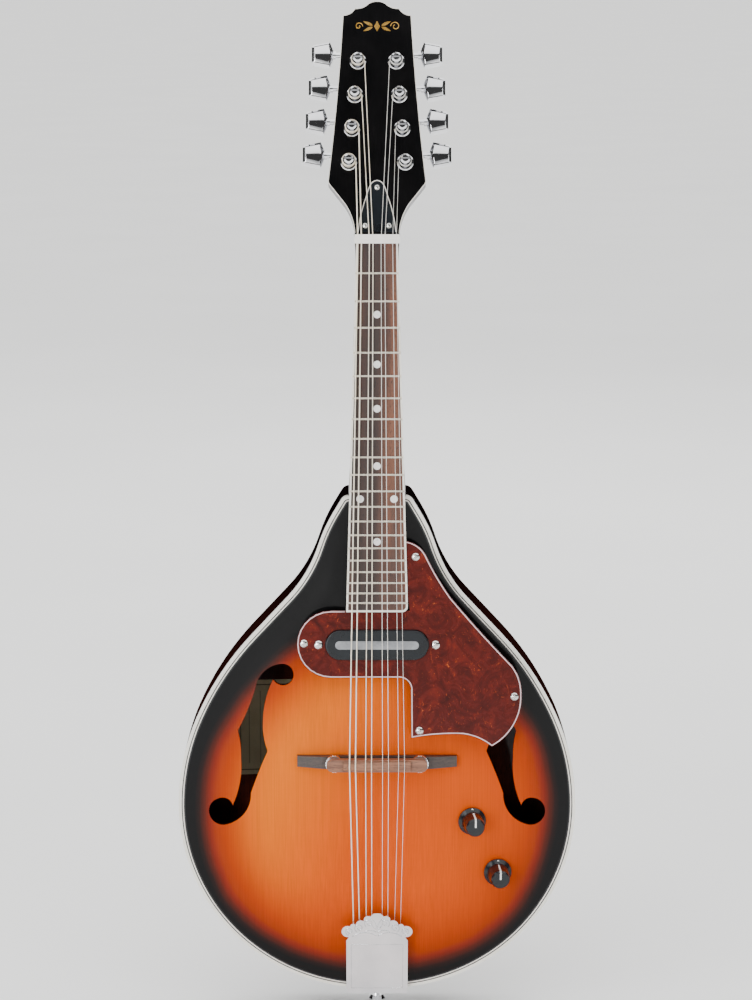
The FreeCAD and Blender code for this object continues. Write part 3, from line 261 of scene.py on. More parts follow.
def spruce_inner():
    f = Finish("bare_spruce")
    grain = fine_grain(f, 0.0009, 0.07)
    broad = f.noise(f.stretched(90, 90, 10), 2.0)
    colour = f.shade(f.ramp(broad, [(0.3, "c79b62"), (0.7, "dab680")]), grain, 0.3)
    f.bump(grain, 0.0001, 0.4)
    return f.set(Base_Color=colour, Roughness=f.span(broad, 0.2, 0.8, 0.62, 0.8))


def neck_wood():
    f = Finish("stained_neck")
    grain = fine_grain(f, 0.0016, 0.10)
    ribbon = f.noise(f.stretched(75, 75, 7), 3.0, 0.5, 0.4)
    colour = f.ramp(ribbon, [(0.3, "2c0e08"), (0.7, "4a1b0f")])
    colour = f.shade(f.shade(colour, grain, 0.5), ribbon, 0.4)
    colour = f.mix(f.math("MULTIPLY", pores(f, 0.0004, 0.005), 0.7), colour, "0d0504")
    ends = f.math("MAXIMUM", f.span(f.z, 0.455, 0.535), f.span(f.z, 0.400, 0.330))
    colour = f.mix(f.math("MULTIPLY", ends, 0.93), colour, "070303")
    f.bump(grain, 0.00002, 0.3)
    return f.lacquer(colour, f.span(grain, 0, 1, 0.34, 0.46), f.span(ribbon, 0.3, 0.7, 0.06, 0.12),
                     0.7)


def rosewood():
    f = Finish("rosewood")
    grain = f.noise(f.stretched(420, 300, 14), 5.0, 0.7, 0.5)
    streaks = f.noise(f.stretched(130, 90, 5), 2.0)
    # the board turns lighter and browner towards the treble side (+x), with streaks along it
    browner_to_treble_with_streaks = f.math("ADD", f.span(f.x, -0.004, 0.012, 0.0, 0.42), streaks)
    colour = f.ramp(browner_to_treble_with_streaks, [(0.35, "241511"), (0.62, "3b2219"), (0.85, "5a3525"), (1.0, "71452f")])
    colour = f.shade(colour, grain, 0.8)
    dark = pores(f, 0.00032, 0.0045, 0.55, 0.64)
    colour = f.mix(f.math("MULTIPLY", dark, 0.8), colour, "0e0706")
    f.bump(f.math("SUBTRACT", 1.0, dark), 0.00008, 0.5)
    return f.set(Base_Color=colour, Roughness=f.span(grain, 0.3, 0.7, 0.34, 0.5), Coat_Weight=0.15,
                 Coat_Roughness=0.3)


def bridge_wood():
    f = Finish("bridge_rosewood")
    grain = f.noise(f.stretched(26, 500, 520), 5.0, 0.7, 0.4)
    foot = f.span(f.y, -0.0385, -0.0375)
    saddle = f.ramp(grain, [(0.3, "6b4230"), (0.7, "94664c")])
    base = f.ramp(grain, [(0.3, "2a211e"), (0.7, "4a3c36")])
    colour = f.shade(f.mix(foot, saddle, base), grain, 0.6)
    dark = f.span(f.noise(f.stretched(160, 2600, 2600), 2.0, 0.7), 0.56, 0.66)
    colour = f.mix(f.math("MULTIPLY", dark, 0.7), colour, "120907")
    f.bump(f.math("SUBTRACT", 1.0, dark), 0.00007, 0.5)
    return f.set(Base_Color=colour, Roughness=f.span(grain, 0.3, 0.7, 0.38, 0.55), Coat_Weight=0.12,
                 Coat_Roughness=0.3)


# ---- lacquer, plastic, bone, paper ------------------------------------------------------------
def head_black():
    f = Finish("black_lacquer")
    grain = fine_grain(f, 0.0012, 0.08)
    haze = f.noise(f.stretched(45, 45, 45), 3.0)
    colour = f.shade(f.ramp(haze, [(0.3, "050506"), (0.7, "0b0a0b")]), grain, 0.4)
    f.bump(grain, 0.000012, 0.3)
    return f.lacquer(colour, f.span(haze, 0.3, 0.7, 0.28, 0.38), f.span(haze, 0.3, 0.7, 0.035, 0.07))


def glossy(name, dark, light, scale, rough, coat=1.0, coat_rough=0.05):
    """A moulded or polished plain material: faint clouding, uneven gloss and tiny surface waves."""
    f = Finish(name)
    cloud = f.noise(f.stretched(scale, scale, scale), 4.0, 0.6)
    fine = f.noise(f.stretched(scale * 14, scale * 14, scale * 14), 3.0)
    colour = f.shade(f.ramp(cloud, [(0.3, dark), (0.7, light)]), fine, 0.10)
    f.bump(fine, 0.000008, 0.5)
    return f.set(Base_Color=colour, Roughness=f.span(cloud, 0.3, 0.7, rough * 0.85, rough * 1.2),
                 Specular_IOR_Level=0.25, Coat_Weight=coat, Coat_IOR=1.3, Coat_Roughness=coat_rough)


def tortoiseshell():
    f = Finish("tortoiseshell")
    drift = f.noise(f.stretched(70, 70, 70), 5.0, 0.62, 1.6)
    fleck = f.noise(f.stretched(310, 310, 210), 4.0, 0.65, 2.2)
    colour = f.ramp(drift, [(0.28, "360c08"), (0.42, "46110c"), (0.55, "53150f"), (0.68, "641b10"),
                            (0.80, "7a2811")])
    colour = f.mix(f.span(fleck, 0.60, 0.72, 0.0, 0.6), colour, "a8431a")
    spark = f.noise(f.stretched(520, 520, 380), 3.0, 0.6, 1.2)
    spark = f.math("MULTIPLY", spark, f.span(drift, 0.40, 0.62, 0.6, 1.2))
    colour = f.mix(f.span(spark, 0.74, 0.86, 0.0, 0.7), colour, "cf6428")
    smoke = f.noise(f.stretched(190, 190, 150), 3.0, 0.6, 1.5)
    colour = f.mix(f.span(smoke, 0.60, 0.74, 0.0, 0.45), colour, "2a0906")
    f.bump(drift, 0.00002, 0.2)
    return f.lacquer(colour, f.span(drift, 0.3, 0.7, 0.22, 0.32), f.span(fleck, 0.3, 0.7, 0.04, 0.07))


def pearl():
    f = Finish("mother_of_pearl")
    flame = f.noise(f.stretched(420, 420, 240), 4.0, 0.6, 2.5)
    colour = f.ramp(flame, [(0.3, "cfd6d4"), (0.45, "eef0ea"), (0.55, "f6ecec"), (0.7, "dbe8ea")])
    f.bump(flame, 0.00002, 0.3)
    return f.set(Base_Color=colour, Roughness=f.span(flame, 0.3, 0.7, 0.18, 0.35), Coat_Weight=0.5,
                 Coat_Roughness=0.08, Sheen_Weight=0.2)


# the label's printed frame inside the back, and its ruled rows to the metre
LABEL_X, LABEL_Z = -0.072, 0.175
LABEL_HALF_WIDTH, LABEL_HALF_HEIGHT = 0.0225, 0.0305
LABEL_ROWS = 130.0


def paper():
    f = Finish("printed_paper")
    fibre = f.noise(f.stretched(900, 900, 900), 4.0, 0.7)
    age = f.noise(f.stretched(35, 35, 35), 3.0)
    colour = f.shade(f.ramp(age, [(0.3, "8f8266"), (0.7, "a99c7e")]), fibre, 0.25)
    across = f.math("ABSOLUTE", f.math("SUBTRACT", f.x, LABEL_X))
    along = f.math("ABSOLUTE", f.math("SUBTRACT", f.z, LABEL_Z))
    frame_line = f.math("MAXIMUM", f.math("SUBTRACT", across, LABEL_HALF_WIDTH),
                        f.math("SUBTRACT", along, LABEL_HALF_HEIGHT))
    border = f.span(f.math("ABSOLUTE", frame_line), 0.0003, 0.0005, 0.7, 0.0)
    row = f.math("FRACT", f.math("MULTIPLY", f.x, LABEL_ROWS))
    rules = f.span(f.math("ABSOLUTE", f.math("SUBTRACT", row, 0.5)), 0.04, 0.06, 0.45, 0.0)
    rules = f.math("MULTIPLY", rules, f.span(frame_line, -0.004, -0.005))
    colour = f.mix(f.math("MAXIMUM", border, rules), colour, "2a241c")
    f.bump(fibre, 0.00005, 0.4)
    return f.set(Base_Color=colour, Roughness=f.span(age, 0.3, 0.7, 0.8, 0.95))


# ---- metal --------------------------------------------------------------------------------
def metal(name, dark, light, rough, scale=60.0, brushed=(1.0, 1.0, 1.0), depth=0.000006):
    """Plated or bare metal: slight tone drift, handling marks in the gloss, faint surface waves."""
    f = Finish(name)
    drift = f.noise(f.stretched(scale, scale, scale), 3.0)
    marks = f.noise(f.stretched(*(scale * 12 * b for b in brushed)), 5.0, 0.7)
    f.bump(marks, depth, 0.35)
    return f.set(Base_Color=f.ramp(drift, [(0.3, dark), (0.7, light)]), Metallic=1.0,
                 Roughness=f.span(marks, 0.3, 0.75, rough * 0.7, rough * 1.5))


WINDINGS = 2600.0             # turns of the bass strings' winding to the metre


def string_metal():
    """Plain steel on the treble side; a fine bronze winding on the bass side's two courses."""
    f = Finish("string_metal")
    wound = f.span(f.x, 0.0004, -0.0004)
    turns = f.math("FRACT", f.math("MULTIPLY", f.z, WINDINGS))
    turns = f.math("ABSOLUTE", f.math("SUBTRACT", turns, 0.5))
    drift = f.noise(f.stretched(200, 200, 40), 3.0)
    plain = f.ramp(drift, [(0.3, "f0ede6"), (0.7, "fffdf8")])
    bronze = f.ramp(drift, [(0.3, "f3e8d2"), (0.7, "fff8ea")])
    f.bump(f.math("MULTIPLY", turns, wound), 0.00012, 0.5)
    return f.set(Base_Color=f.mix(wound, plain, bronze), Metallic=1.0,
                 Roughness=f.math("MULTIPLY_ADD", wound, 0.05, f.span(drift, 0.3, 0.7, 0.42, 0.50)))


LOOKS = {
    "spruce_top": spruce_top(),
    "mahogany": mahogany(),
    "spruce_inner": spruce_inner(),
    "neck_wood": neck_wood(),
    "binding": glossy("ivory_binding", "e9e5da", "f4f1e8", 40, 0.3),
    "purfling": glossy("dark_purfling", "121214", "1d1d20", 60, 0.35),
    "paper": paper(),
    "head_black": head_black(),
    "rosewood": rosewood(),
    "bridge_wood": bridge_wood(),
    "pearl": pearl(),
    "bone": glossy("bone_nut", "eeebe2", "faf8f2", 90, 0.35, 0.4, 0.15),
    "fret_metal": metal("nickel_frets", "cfc8b8", "e6dfce", 0.24, 150, (0.2, 1, 1)),
    "string_metal": string_metal(),
    "steel": metal("plated_steel", "cfcfcb", "eae9e4", 0.16, 120),
    "tortoiseshell": tortoiseshell(),
    "black_plastic": glossy("black_plastic", "090d11", "11181e", 70, 0.3, 0.8, 0.08),
    "blade_metal": metal("brushed_blade", "85878a", "a9abae", 0.36, 130, (0.1, 1, 1), 0.00001),
    "post_plastic": glossy("post_plastic", "161616", "222222", 80, 0.5, 0.0),
    "chrome": metal("chrome", "dcdde0", "f2f2f4", 0.07, 45),
    "pot_metal": metal("pot_metal", "8d8a83", "aaa69d", 0.35, 120, (1, 1, 1), 0.00002),
    "wire_sleeve": glossy("wire_sleeve", "141414", "262626", 200, 0.55, 0.0),
}
IVORY_LINE = glossy("ivory_line", "e6e0d6", "f3eee6", 80, 0.3)
ROSE_LINE = glossy("guard_edge", "cfb0b4", "e2c8ca", 80, 0.3)
WHITE_PAINT = glossy("white_paint", "e8e8e4", "f6f6f2", 120, 0.4, 0.3)
GOLD_INLAY = metal("gold_inlay", "b88a3a", "d8b064", 0.3, 160, (1, 1, 1), 0.00001)
ENGRAVED = metal("engraved_scroll", "c4c6ca", "e2e3e6", 0.16, 90)

for part in frame["record"]["subparts"]:
    mesh = frame["nodes"][part["node"]].data
    mesh.materials.clear()
    mesh.materials.append(LOOKS[part["material_slot"]])


# ---- pieces built in mesh code ----------------------------------------------------------------
class Plane:
    """A local frame in millimetres: across, up and out from an origin."""

    def __init__(self, origin, across, up, out):
        self.origin = Vector(origin)
        self.axes = [Vector(a).normalized() for a in (across, up, out)]

    def at(self, x, u, h):
        return (self.origin + self.axes[0] * x + self.axes[1] * u + self.axes[2] * h) * MM


def piece(name, vertices, faces, material, body, smooth=True):
    mesh = bpy.data.meshes.new(name)
    mesh.from_pydata(vertices, [], faces)
    mesh.polygons.foreach_set("use_smooth", [smooth] * len(mesh.polygons))
    mesh.materials.append(material)
    mesh.update()
    made = bpy.data.objects.new(name, mesh)
    bpy.context.scene.collection.objects.link(made)
    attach(made, body)


def arc_through(p, q, r):
    """Points along the circle from p through q to r."""
    steps = 14
    (ax, ay), (bx, by), (cx, cy) = p, q, r
    d = 2 * (ax * (by - cy) + bx * (cy - ay) + cx * (ay - by))
    sa, sb, sc = ax * ax + ay * ay, bx * bx + by * by, cx * cx + cy * cy
    mx = (sa * (by - cy) + sb * (cy - ay) + sc * (ay - by)) / d
    my = (sa * (cx - bx) + sb * (ax - cx) + sc * (bx - ax)) / d
    radius = math.hypot(ax - mx, ay - my)
    start = math.atan2(ay - my, ax - mx)
    sweep = (math.atan2(cy - my, cx - mx) - start) % (2 * math.pi)
    through = (math.atan2(by - my, bx - mx) - start) % (2 * math.pi)
    if through > sweep:
        sweep -= 2 * math.pi
    angles = [start + sweep * i / steps for i in range(steps + 1)]
    return [(mx + radius * math.cos(a), my + radius * math.sin(a)) for a in angles]


def chain(*steps):
    """One line through straight points (x, y) and arcs ((p), (q), (r))."""
    line = []
    for step in steps:
        points = arc_through(*step) if isinstance(step[0], tuple) else [step]
        for point in points:
            if not line or math.dist(point, line[-1]) > 0.02:
                line.append(point)
    return line


def mirrored(line):
    """A line from the right side's start to the middle, carried on down the left side."""
    return line + [(-x, y) for x, y in reversed(line) if abs(x) > 0.01]


def swept(name, line, profile, plane, material, body, loop=False):
    """A strip along a flat line. The profile's points are (left of the line, out of the plane)."""
    count = len(line)
    vertices, faces = [], []
    for i, (x, y) in enumerate(line):
        before = line[i - 1] if (loop or i) else line[i]
        after = line[(i + 1) % count] if (loop or i < count - 1) else line[i]
        ax, ay = x - before[0], y - before[1]
        bx, by = after[0] - x, after[1] - y
        la, lb = math.hypot(ax, ay) or 1.0, math.hypot(bx, by) or 1.0
        tx, ty = ax / la + bx / lb, ay / la + by / lb
        length = math.hypot(tx, ty) or 1.0
        nx, ny = -ty / length, tx / length
        widen = 1.0 / max(length / 2, 0.5) if (loop or 0 < i < count - 1) else 1.0
        for a, h in profile:
            vertices.append(plane.at(x + nx * a * widen, y + ny * a * widen, h))
    n = len(profile)
    for i in range(count if loop else count - 1):
        j = (i + 1) % count
        for k in range(n):
            m = (k + 1) % n
            faces.append((i * n + k, i * n + m, j * n + m, j * n + k))
    if not loop:
        faces.append(tuple(range(n - 1, -1, -1)))
        faces.append(tuple(range((count - 1) * n, count * n)))
    piece(name, vertices, faces, material, body)


SINK = 0.15                   # how deep an applied line reaches into the surface it lies on


def bead(width, height):
    """Profile of a low rounded line."""
    half = width / 2
    return [(half, -SINK), (half, 0.0), (half * 0.7, height * 0.75), (0.0, height),
            (-half * 0.7, height * 0.75), (-half, 0.0), (-half, -SINK)]


def flush(width, height=0.03):
    """Profile of a flat inlaid line, its right edge on the line."""
    return [(width, -SINK), (width, height), (0.0, height), (0.0, -SINK)]


def lathe(name, rings, plane, material, body):
    """A turned piece: rings are (radius, height) in the plane's frame."""
    steps = 40
    vertices, faces = [], []
    for radius, height in rings:
        for k in range(steps):
            a = 2 * math.pi * k / steps
            vertices.append(plane.at(radius * math.cos(a), radius * math.sin(a), height))
    for i in range(len(rings) - 1):
        for k in range(steps):
            m = (k + 1) % steps
            faces.append((i * steps + k, i * steps + m, (i + 1) * steps + m, (i + 1) * steps + k))
    faces.append(tuple(range(steps - 1, -1, -1)))
    faces.append(tuple(range((len(rings) - 1) * steps, len(rings) * steps)))
    piece(name, vertices, faces, material, body)


def joint(name):
    return next(j for j in frame["joints"] if j["name"] == name)


def plane_of(name, up=(0, 0, 1)):
    """The plane square to a hinge's axis, with its own up as near as can be to the given one."""
    found = joint(name)
    out = Vector(found["axis"]).normalized()
    rise = Vector(up)
    rise = (rise - out * rise.dot(out)).normalized()
    return Plane(Vector(found["pos_m"]) / MM, rise.cross(out), rise, out)


# the frames of the headstock, the tailpiece cover and the leaning pickguard
NUT_PLACE = Vector((0, -15.73, 513.92))
HEAD_DROP = 1.5               # how far the headstock's face starts behind that place
NECK_TILT = math.radians(4.5)
HEAD_TILT = math.radians(17.5)
NECK_OUT = Vector((0, -math.cos(NECK_TILT), math.sin(NECK_TILT)))
HEAD_UP = Vector((0, math.sin(HEAD_TILT), math.cos(HEAD_TILT)))
HEAD_OUT = Vector((0, -math.cos(HEAD_TILT), math.sin(HEAD_TILT)))
HEAD = Plane(NUT_PLACE - NECK_OUT * HEAD_DROP, (1, 0, 0), HEAD_UP, HEAD_OUT)
# places and heights above the rim where the strings are hooked and where the bridge carries them
ANCHOR_Z, ANCHOR_HEIGHT = 22.0, 4.3
BRIDGE_Z, BRIDGE_HEIGHT = 165.0, 27.0
STRING_RISE = math.atan2(BRIDGE_HEIGHT - ANCHOR_HEIGHT, BRIDGE_Z - ANCHOR_Z)
COVER_UP = Vector((0, -math.sin(STRING_RISE), math.cos(STRING_RISE)))
COVER_OUT = Vector((0, -math.cos(STRING_RISE), -math.sin(STRING_RISE)))
COVER = Plane((0, -25.6, -2.0), (1, 0, 0), COVER_UP, COVER_OUT)
GUARD_Y, GUARD_Z = -35.3, 246.4           # the pickguard's face where it meets the pickup
GUARD_TURN = Matrix.Rotation(-NECK_TILT, 3, "X")
GUARD = Plane(Vector((0, GUARD_Y, GUARD_Z)) - GUARD_TURN @ Vector((0, 0, GUARD_Z)), (1, 0, 0),
              GUARD_TURN @ Vector((0, 0, 1)), GUARD_TURN @ Vector((0, -1, 0)))

# ---- body: pale line in the dark purfling ----------------------------------------------------
# lengths with no turn, or radii with a turn in degrees, from the tail's middle to the neck end
BODY_STEPS = ((5.3, 0), (130, 90), (155, 23.6), (205, 19.4), (34.9, 0), (96, -25), (110, 13),
              (10, 0), (6, 59))


def body_side():
    """The right half of the body's outline, from the tail to the neck end."""
    x = z = heading = 0.0
    line = [(0.0, 0.0)]
    for size, turn in BODY_STEPS:
        pieces = max(1, int(abs(turn) / 1.5))
        for i in range(pieces):
            a = math.radians(heading + turn * (i + 0.5) / pieces)
            length = size if turn == 0 else 2 * size * math.sin(math.radians(abs(turn) / pieces / 2))
            x, z = x + length * math.cos(a), z + length * math.sin(a)
            line.append((x, z))
        heading += turn
    return line + [(0.0, z)]


RIM = Plane((0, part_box("top_purfling")[0].y / MM, 0), (1, 0, 0), (0, 0, 1), (0, -1, 0))
PALE_LINE = [(3.55, -0.2), (3.55, 0.03), (2.75, 0.03), (2.75, -0.2)]
swept("purfling_pale_line", mirrored(body_side()), PALE_LINE, RIM, IVORY_LINE, "body",
      loop=True)

# ---- headstock: painted edge highlight, ornament, truss cover line ---------------------------
head_side = chain((14.8, 7.0),
                  ((14.8, 7.0), (16.6, 16.6), (21.4, 26.6)),
                  ((31.7, 39.8), (32.4, 41.2), (32.5, 42.6)),
                  ((32.5, 42.6), (27.3, 93), (22.9, 154.2)),
                  ((22.9, 154.2), (22.6, 155.0), (21.6, 155.2)),
                  ((21.6, 155.2), (17.9, 156.5), (15.2, 159.2)),
                  ((15.2, 159.2), (14.7, 159.7), (13.9, 159.8)),
                  ((13.9, 159.8), (9.6, 160.6), (6.2, 162.8)),
                  ((6.2, 162.8), (3.3, 164.3), (0.0, 164.8)))
# a thin ivory line round the headstock's outline: a painted highlight standing in for light caught on its edge
swept("headstock_edge_highlight", mirrored(head_side), flush(0.45), HEAD, IVORY_LINE, "body")
cover_side = chain(((12.7, 7.4), (10.6, 20.5), (7.3, 31.5)), ((7.3, 31.5), (6.0, 36.0), (4.6, 39.4)),
                   ((4.6, 39.4), (2.6, 41.5), (0.0, 42.4)))
TRUSS_COVER_THICK = 1.8
TRUSS_TOP = Plane(HEAD.origin + HEAD.axes[2] * TRUSS_COVER_THICK, *HEAD.axes)
swept("truss_cover_edge_line", mirrored(cover_side), flush(0.55), TRUSS_TOP, IVORY_LINE, "body")


def spiral(cx, cy, r0, r1, start, turn, steps):
    """Points of a scroll that runs from radius r0 to r1 round (cx, cy), in degrees."""
    line = []
    for i in range(steps + 1):
        t = i / steps
        a = math.radians(start + turn * t)
        r = r0 + (r1 - r0) * t
        line.append((cx + r * math.cos(a), cy + r * math.sin(a)))
    return line


def leaf(x, y, angle, length, width):
    """Closed outline of a pointed leaf from (x, y)."""
    steps = 14
    c, s = math.cos(math.radians(angle)), math.sin(math.radians(angle))
    outline = []
    for side in (1, -1):
        span = range(steps) if side > 0 else range(steps, 0, -1)
        for i in span:
            t = i / steps
            along, across = length * t, side * width / 2 * math.sin(math.pi * t ** 0.8)
            outline.append((x + along * c - across * s, y + along * s + across * c))
    return outline


def plaque(name, outline, plane, material, body, height=0.05):
    """A thin flat inlay with the given closed outline."""
    n = len(outline)
    vertices = [plane.at(x, y, -0.1) for x, y in outline] + [plane.at(x, y, height) for x, y in outline]
    faces = [tuple(range(n - 1, -1, -1)), tuple(range(n, 2 * n))]
    faces += [(i, (i + 1) % n, n + (i + 1) % n, n + i) for i in range(n)]
    piece(name, vertices, faces, material, body, smooth=False)


ORNAMENT_U = 147.5
lozenge = [(0, ORNAMENT_U + 3.6), (-2.0, ORNAMENT_U), (0, ORNAMENT_U - 3.6), (2.0, ORNAMENT_U)]
plaque("ornament_lozenge", lozenge, HEAD, GOLD_INLAY, "body")
for side, word in ((1, "treble"), (-1, "bass")):
    turned = 0 if side > 0 else 180
    upper = leaf(side * 2.9, ORNAMENT_U + 0.5, turned + side * 24, 7.0, 2.0)
    lower = leaf(side * 2.9, ORNAMENT_U - 0.5, turned - side * 24, 7.0, 2.0)
    plaque("ornament_leaf_upper_" + word, upper, HEAD, GOLD_INLAY, "body")
    plaque("ornament_leaf_lower_" + word, lower, HEAD, GOLD_INLAY, "body")
    scroll = spiral(side * 12.2, ORNAMENT_U, 2.9, 0.7, 180 if side > 0 else 0, -side * 430, 40)
    swept("ornament_scroll_" + word, scroll, flush(0.5, 0.05), HEAD, GOLD_INLAY, "body")

# ---- pickguard: pale bevelled edge --------------------------------------------------------------
guard_line = chain((-21.6, 269.4),
                   (-31.0, 269.4),
                   ((-31.0, 269.4), (-53.7, 246.7), (-31.0, 224.0)),
                   (15.2, 224.0),
                   ((15.2, 224.0), (20.5, 221.6), (22.8, 216.4)),
                   (23.0, 183.0),
                   ((23.0, 183.0), (42.0, 185.4), (57.6, 185.6)),
                   ((57.6, 185.6), (68.9, 182.4), (77.3, 177.2)),
                   ((77.3, 177.2), (92.6, 192.6), (97.1, 212.6)),
                   ((97.1, 212.6), (95.4, 223.6), (90.4, 232.6)),
                   ((90.4, 232.6), (69.2, 255.4), (49.6, 278.0)),
                   ((49.6, 278.0), (40.2, 292.6), (32.8, 306.6)),
                   ((32.8, 306.6), (27.4, 313.0), (18.8, 316.4)))
GUARD_EDGE = [(-0.03, -1.9), (1.0, -0.2), (1.0, 0.04), (0.35, 0.05), (-0.03, -0.3)]
swept("pickguard_edge", guard_line, GUARD_EDGE, GUARD, ROSE_LINE, "body")

# ---- tailpiece: scrollwork on the cloud crest ---------------------------------------------------
CREST_SCROLLS = (spiral(18.9, 47.4, 2.9, 0.7, -80, 520, 44),
                 spiral(12.2, 50.0, 3.3, 0.7, -60, 480, 40),
                 spiral(5.6, 53.6, 3.2, 0.6, -50, 470, 40),
                 chain(((0.6, 44.2), (8.0, 46.6), (16.8, 43.6))),
                 chain(((0.5, 47.0), (4.6, 48.4), (8.4, 47.4))))
CREST_LEAF = leaf(0.7, 49.2, 68, 8.4, 2.6)
for side, word in ((1, "treble"), (-1, "bass")):
    for number, line in enumerate(CREST_SCROLLS):
        swept("crest_scroll_%s_%d" % (word, number), [(side * x, y) for x, y in line],
              bead(0.75, 0.28), COVER, ENGRAVED, "tail_cover")
    swept("crest_leaf_" + word, [(side * x, y) for x, y in CREST_LEAF], bead(0.5, 0.22), COVER,
          ENGRAVED, "tail_cover", loop=True)
panel = [(-17.6, 4.0), (17.6, 4.0), (17.6, 37.4), (-17.6, 37.4)]
swept("cover_panel_line", panel, bead(0.5, 0.10), COVER, ENGRAVED, "tail_cover", loop=True)

# ---- knobs: pointer lines and marks ---------------------------------------------------------------
# (radius, height) of the knob's top edge, the foot of its bevel and the foot of its side
KNOB_EDGE, KNOB_BEVEL, KNOB_FOOT = (5.6, 16.8), (6.4, 15.6), (7.4, 4.4)
POINTER_HEIGHT = 0.06


def stripe(half, start, end):
    """A straight stripe up its plane."""
    return [(-half, start), (half, start), (half, end), (-half, end)]


def slope_plane(knob, upper, lower):
    """The plane of a knob's flank, from its upper edge down to its lower one."""
    top, low = (knob.at(0, *edge) / MM for edge in (upper, lower))
    slope = (low - top).normalized()
    return Plane(top, knob.axes[0], slope, knob.axes[0].cross(slope))


for name in ("volume", "tone"):
    knob = plane_of(name + "_turn")
    body = name + "_knob"
    face = Plane(knob.origin + knob.axes[2] * KNOB_EDGE[1], *knob.axes)
    plaque(name + "_pointer", stripe(0.55, 0.3, 5.5), face, WHITE_PAINT, body, POINTER_HEIGHT)
    plaque(name + "_pointer_bevel", stripe(0.55, 0.0, 1.44),
           slope_plane(knob, KNOB_EDGE, KNOB_BEVEL), WHITE_PAINT, body, POINTER_HEIGHT)
    plaque(name + "_pointer_side", stripe(0.5, 0.0, 9.0),
           slope_plane(knob, KNOB_BEVEL, KNOB_FOOT), WHITE_PAINT, body, POINTER_HEIGHT)
    skirt = Plane(knob.at(0, 8.55, 3.05) / MM, *knob.axes)
    lathe(name + "_skirt_mark", [(0.65, -0.5), (0.65, 0.05), (0.5, 0.12)], skirt, WHITE_PAINT, body)

# ---- tuners: cushioned faces of the finger buttons -----------------------------------------------
TUNER_FIRST, TUNER_PITCH = 54.6, 22.9
POST_X = (18.7, 16.7, 14.8, 12.8)
TUNERS = [(k + 1 if side < 0 else k + 5, side, side * x, TUNER_FIRST + TUNER_PITCH * k)
          for side in (-1, 1) for k, x in enumerate(POST_X)]
# (distance from the post, half height) round a button, and its shaft's place from the post
BUTTON = ((17.8, 2.9), (19.6, 7.2), (29.4, 5.3), (29.8, 4.6))
SHAFT_UP, SHAFT_OUT = 8.8, -17.6
BUTTON_HALF_THICK = 3.58
CROWN = 1.0                   # rise of a cushioned face at its middle
BORDER = 0.3                  # flat edge left round it


def button_half(x):
    """Half height of a button's flat face at a distance from the post."""
    for (x0, a), (x1, b) in zip(BUTTON, BUTTON[1:]):
        if x <= x1:
            return a + (b - a) * (x - x0) / (x1 - x0)
    return BUTTON[-1][1]


for number, side, post_x, post_u in TUNERS:
    for face, word in ((1, "front"), (-1, "back")):
        across, along = 18, 16
        vertices, faces = [], []
        for i in range(across + 1):
            w = 0.5 - 0.5 * math.cos(math.pi * i / across)
            x = BUTTON[0][0] + BORDER + (BUTTON[-1][0] - BUTTON[0][0] - 2 * BORDER) * w
            half = button_half(x) - BORDER
            for j in range(along + 1):
                v = 2 * j / along - 1
                rise = CROWN * (1 - v * v) * (1 - (2 * w - 1) ** 40)
                vertices.append(HEAD.at(post_x + side * x, post_u + SHAFT_UP + half * v,
                                        SHAFT_OUT + face * (BUTTON_HALF_THICK + rise)))
        for i in range(across):
            for j in range(along):
                a = i * (along + 1) + j
                quad = (a, a + along + 1, a + along + 2, a + 1)
                faces.append(quad if side * face > 0 else quad[::-1])
        piece("button_%s_%d" % (word, number), vertices, faces, LOOKS["chrome"],
              "key_%d" % number)

# ---- tuners: string wound round each post -------------------------------------------------------
STRING_RADII = (0.44, 0.44, 0.31, 0.31, 0.18, 0.18, 0.14, 0.14)
POST_ORDER = (1, 2, 3, 4, 8, 7, 6, 5)     # the post each string is wound on, bass to treble
WRAP_RADIUS = 3.9             # where the wire lies on the post, sunk a little into it
WRAP_MIDDLE = 6.6             # a winding's middle lies just below this height over the headstock
CLOSEST_PITCH = 0.40          # from turn to turn of the thinnest wires
for index, number in enumerate(POST_ORDER):
    post = plane_of("post_%d_turn" % number, HEAD.axes[1])
    lift = (HEAD.origin - post.origin).dot(HEAD.axes[2])
    radius = STRING_RADII[index]
    around = WRAP_RADIUS + radius * 0.7
    turns = 4 if radius > 0.3 else 6
    pitch = max(2.06 * radius, CLOSEST_PITCH)
    steps, sides = turns * 26, 6
    vertices, faces = [], []
    side = -1 if post.origin.x < 0 else 1
    for i in range(steps + 1):
        a = 2 * math.pi * turns * i / steps * side
        h = lift + WRAP_MIDDLE - pitch * turns * i / steps + pitch * turns * 0.45
        for k in range(sides):
            b = 2 * math.pi * k / sides
            r = around + radius * math.cos(b)
            vertices.append(post.at(r * math.cos(a), r * math.sin(a), h + radius * math.sin(b)))
    for i in range(steps):
        for k in range(sides):
            m = (k + 1) % sides
            faces.append((i * sides + k, i * sides + m, (i + 1) * sides + m, (i + 1) * sides + k))
    faces.append(tuple(range(sides)))
    faces.append(tuple(range(steps * sides + sides - 1, steps * sides - 1, -1)))
    piece("string_winding_%d" % number, vertices, faces, LOOKS["string_metal"],
          "post_%d" % number)

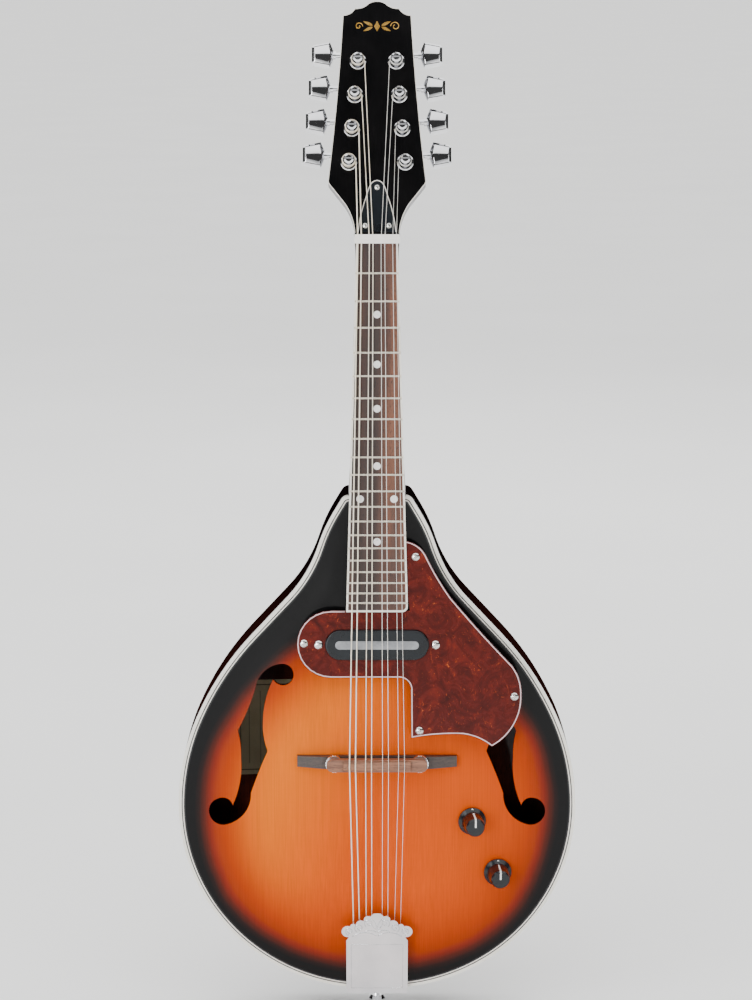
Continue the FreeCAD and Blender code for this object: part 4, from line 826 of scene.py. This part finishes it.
# ---- floor, light and camera ----------------------------------------------------------------------
FLOOR_GAP = 0.0004
FLOOR_Z = CAD_LOW.z - FLOOR_GAP
floor_finish = Finish("studio_floor")
speckle = floor_finish.noise(floor_finish.stretched(3, 3, 3), 2.0)
floor_finish.set(Base_Color=floor_finish.ramp(speckle, [(0.3, "f9f9f8"), (0.7, "fcfcfb")]),
                 Roughness=floor_finish.span(speckle, 0.3, 0.7, 0.85, 0.95), Specular_IOR_Level=0.1)
rings, steps = (2.0, 8.0, 30.0, 120.0), 48
floor_points = [(0.0, 0.0, FLOOR_Z)]
floor_faces = []
for j, radius in enumerate(rings):
    for k in range(steps):
        a = 2 * math.pi * k / steps
        floor_points.append((radius * math.cos(a), radius * math.sin(a), FLOOR_Z))
        m = (k + 1) % steps
        if j == 0:
            floor_faces.append((0, 1 + k, 1 + m))
        else:
            low, high = 1 + (j - 1) * steps, 1 + j * steps
            floor_faces.append((low + k, high + k, high + m, low + m))
floor_mesh = bpy.data.meshes.new("floor")
floor_mesh.from_pydata(floor_points, [], floor_faces)
floor_mesh.materials.append(floor_finish.material)
floor = bpy.data.objects.new("floor", floor_mesh)
bpy.context.scene.collection.objects.link(floor)


def softbox(name, place, aim, size, power):
    lamp = bpy.data.lights.new(name, "AREA")
    lamp.shape = "RECTANGLE"
    lamp.size, lamp.size_y = size
    lamp.energy = power
    made = bpy.data.objects.new(name, lamp)
    made.location = place
    made.rotation_euler = (Vector(aim) - Vector(place)).to_track_quat("-Z", "Y").to_euler()
    bpy.context.scene.collection.objects.link(made)


MIDDLE = (0.0, 0.0, 0.33)
softbox("key_left", (-1.7, -1.5, 1.7), MIDDLE, (1.3, 1.5), 16)
softbox("fill_right", (2.0, -1.9, 0.9), MIDDLE, (0.9, 1.6), 15)
softbox("window_left", (-1.10, -2.00, 0.42), (0.0, 0.0, 0.25), (0.6, 1.2), 26)
softbox("back_light", (0.6, 2.2, 1.8), MIDDLE, (2.0, 1.2), 22)

world = bpy.data.worlds.new("studio")
bpy.context.scene.world = world
world.use_nodes = True
sky = world.node_tree
ray = sky.nodes.new("ShaderNodeTexCoord")
parts = sky.nodes.new("ShaderNodeSeparateXYZ")
sky.links.new(ray.outputs["Generated"], parts.inputs[0])
tone = sky.nodes.new("ShaderNodeValToRGB")
# brightness from straight down (0) to straight up (1)
SKY = ((0.0, 0.36), (0.09, 0.30), (0.14, 0.02), (0.555, 0.02), (0.60, 0.85), (1.0, 1.0))
while len(tone.color_ramp.elements) < len(SKY):
    tone.color_ramp.elements.new(0.5)
for element, (position, level) in zip(tone.color_ramp.elements, SKY):
    element.position = position
    element.color = (level, level, level, 1.0)
sky.links.new(parts.outputs[2], tone.inputs[0])
backdrop = sky.nodes["Background"]
backdrop.inputs["Strength"].default_value = 2.3
sky.links.new(tone.outputs[0], backdrop.inputs["Color"])

VIEW_DOWN = math.radians(10.5)
camera_data = bpy.data.cameras.new("camera")
camera_data.sensor_fit = "VERTICAL"
camera_data.sensor_height = 24.0
camera_data.lens = 71.72
camera_data.clip_end = 300.0
camera = bpy.data.objects.new("camera", camera_data)
camera.location = Vector((-0.7, -1987.5, 707.0)) * MM
camera.rotation_euler = (math.pi / 2 - VIEW_DOWN, 0.0, 0.0)
bpy.context.scene.collection.objects.link(camera)
bpy.context.scene.camera = camera
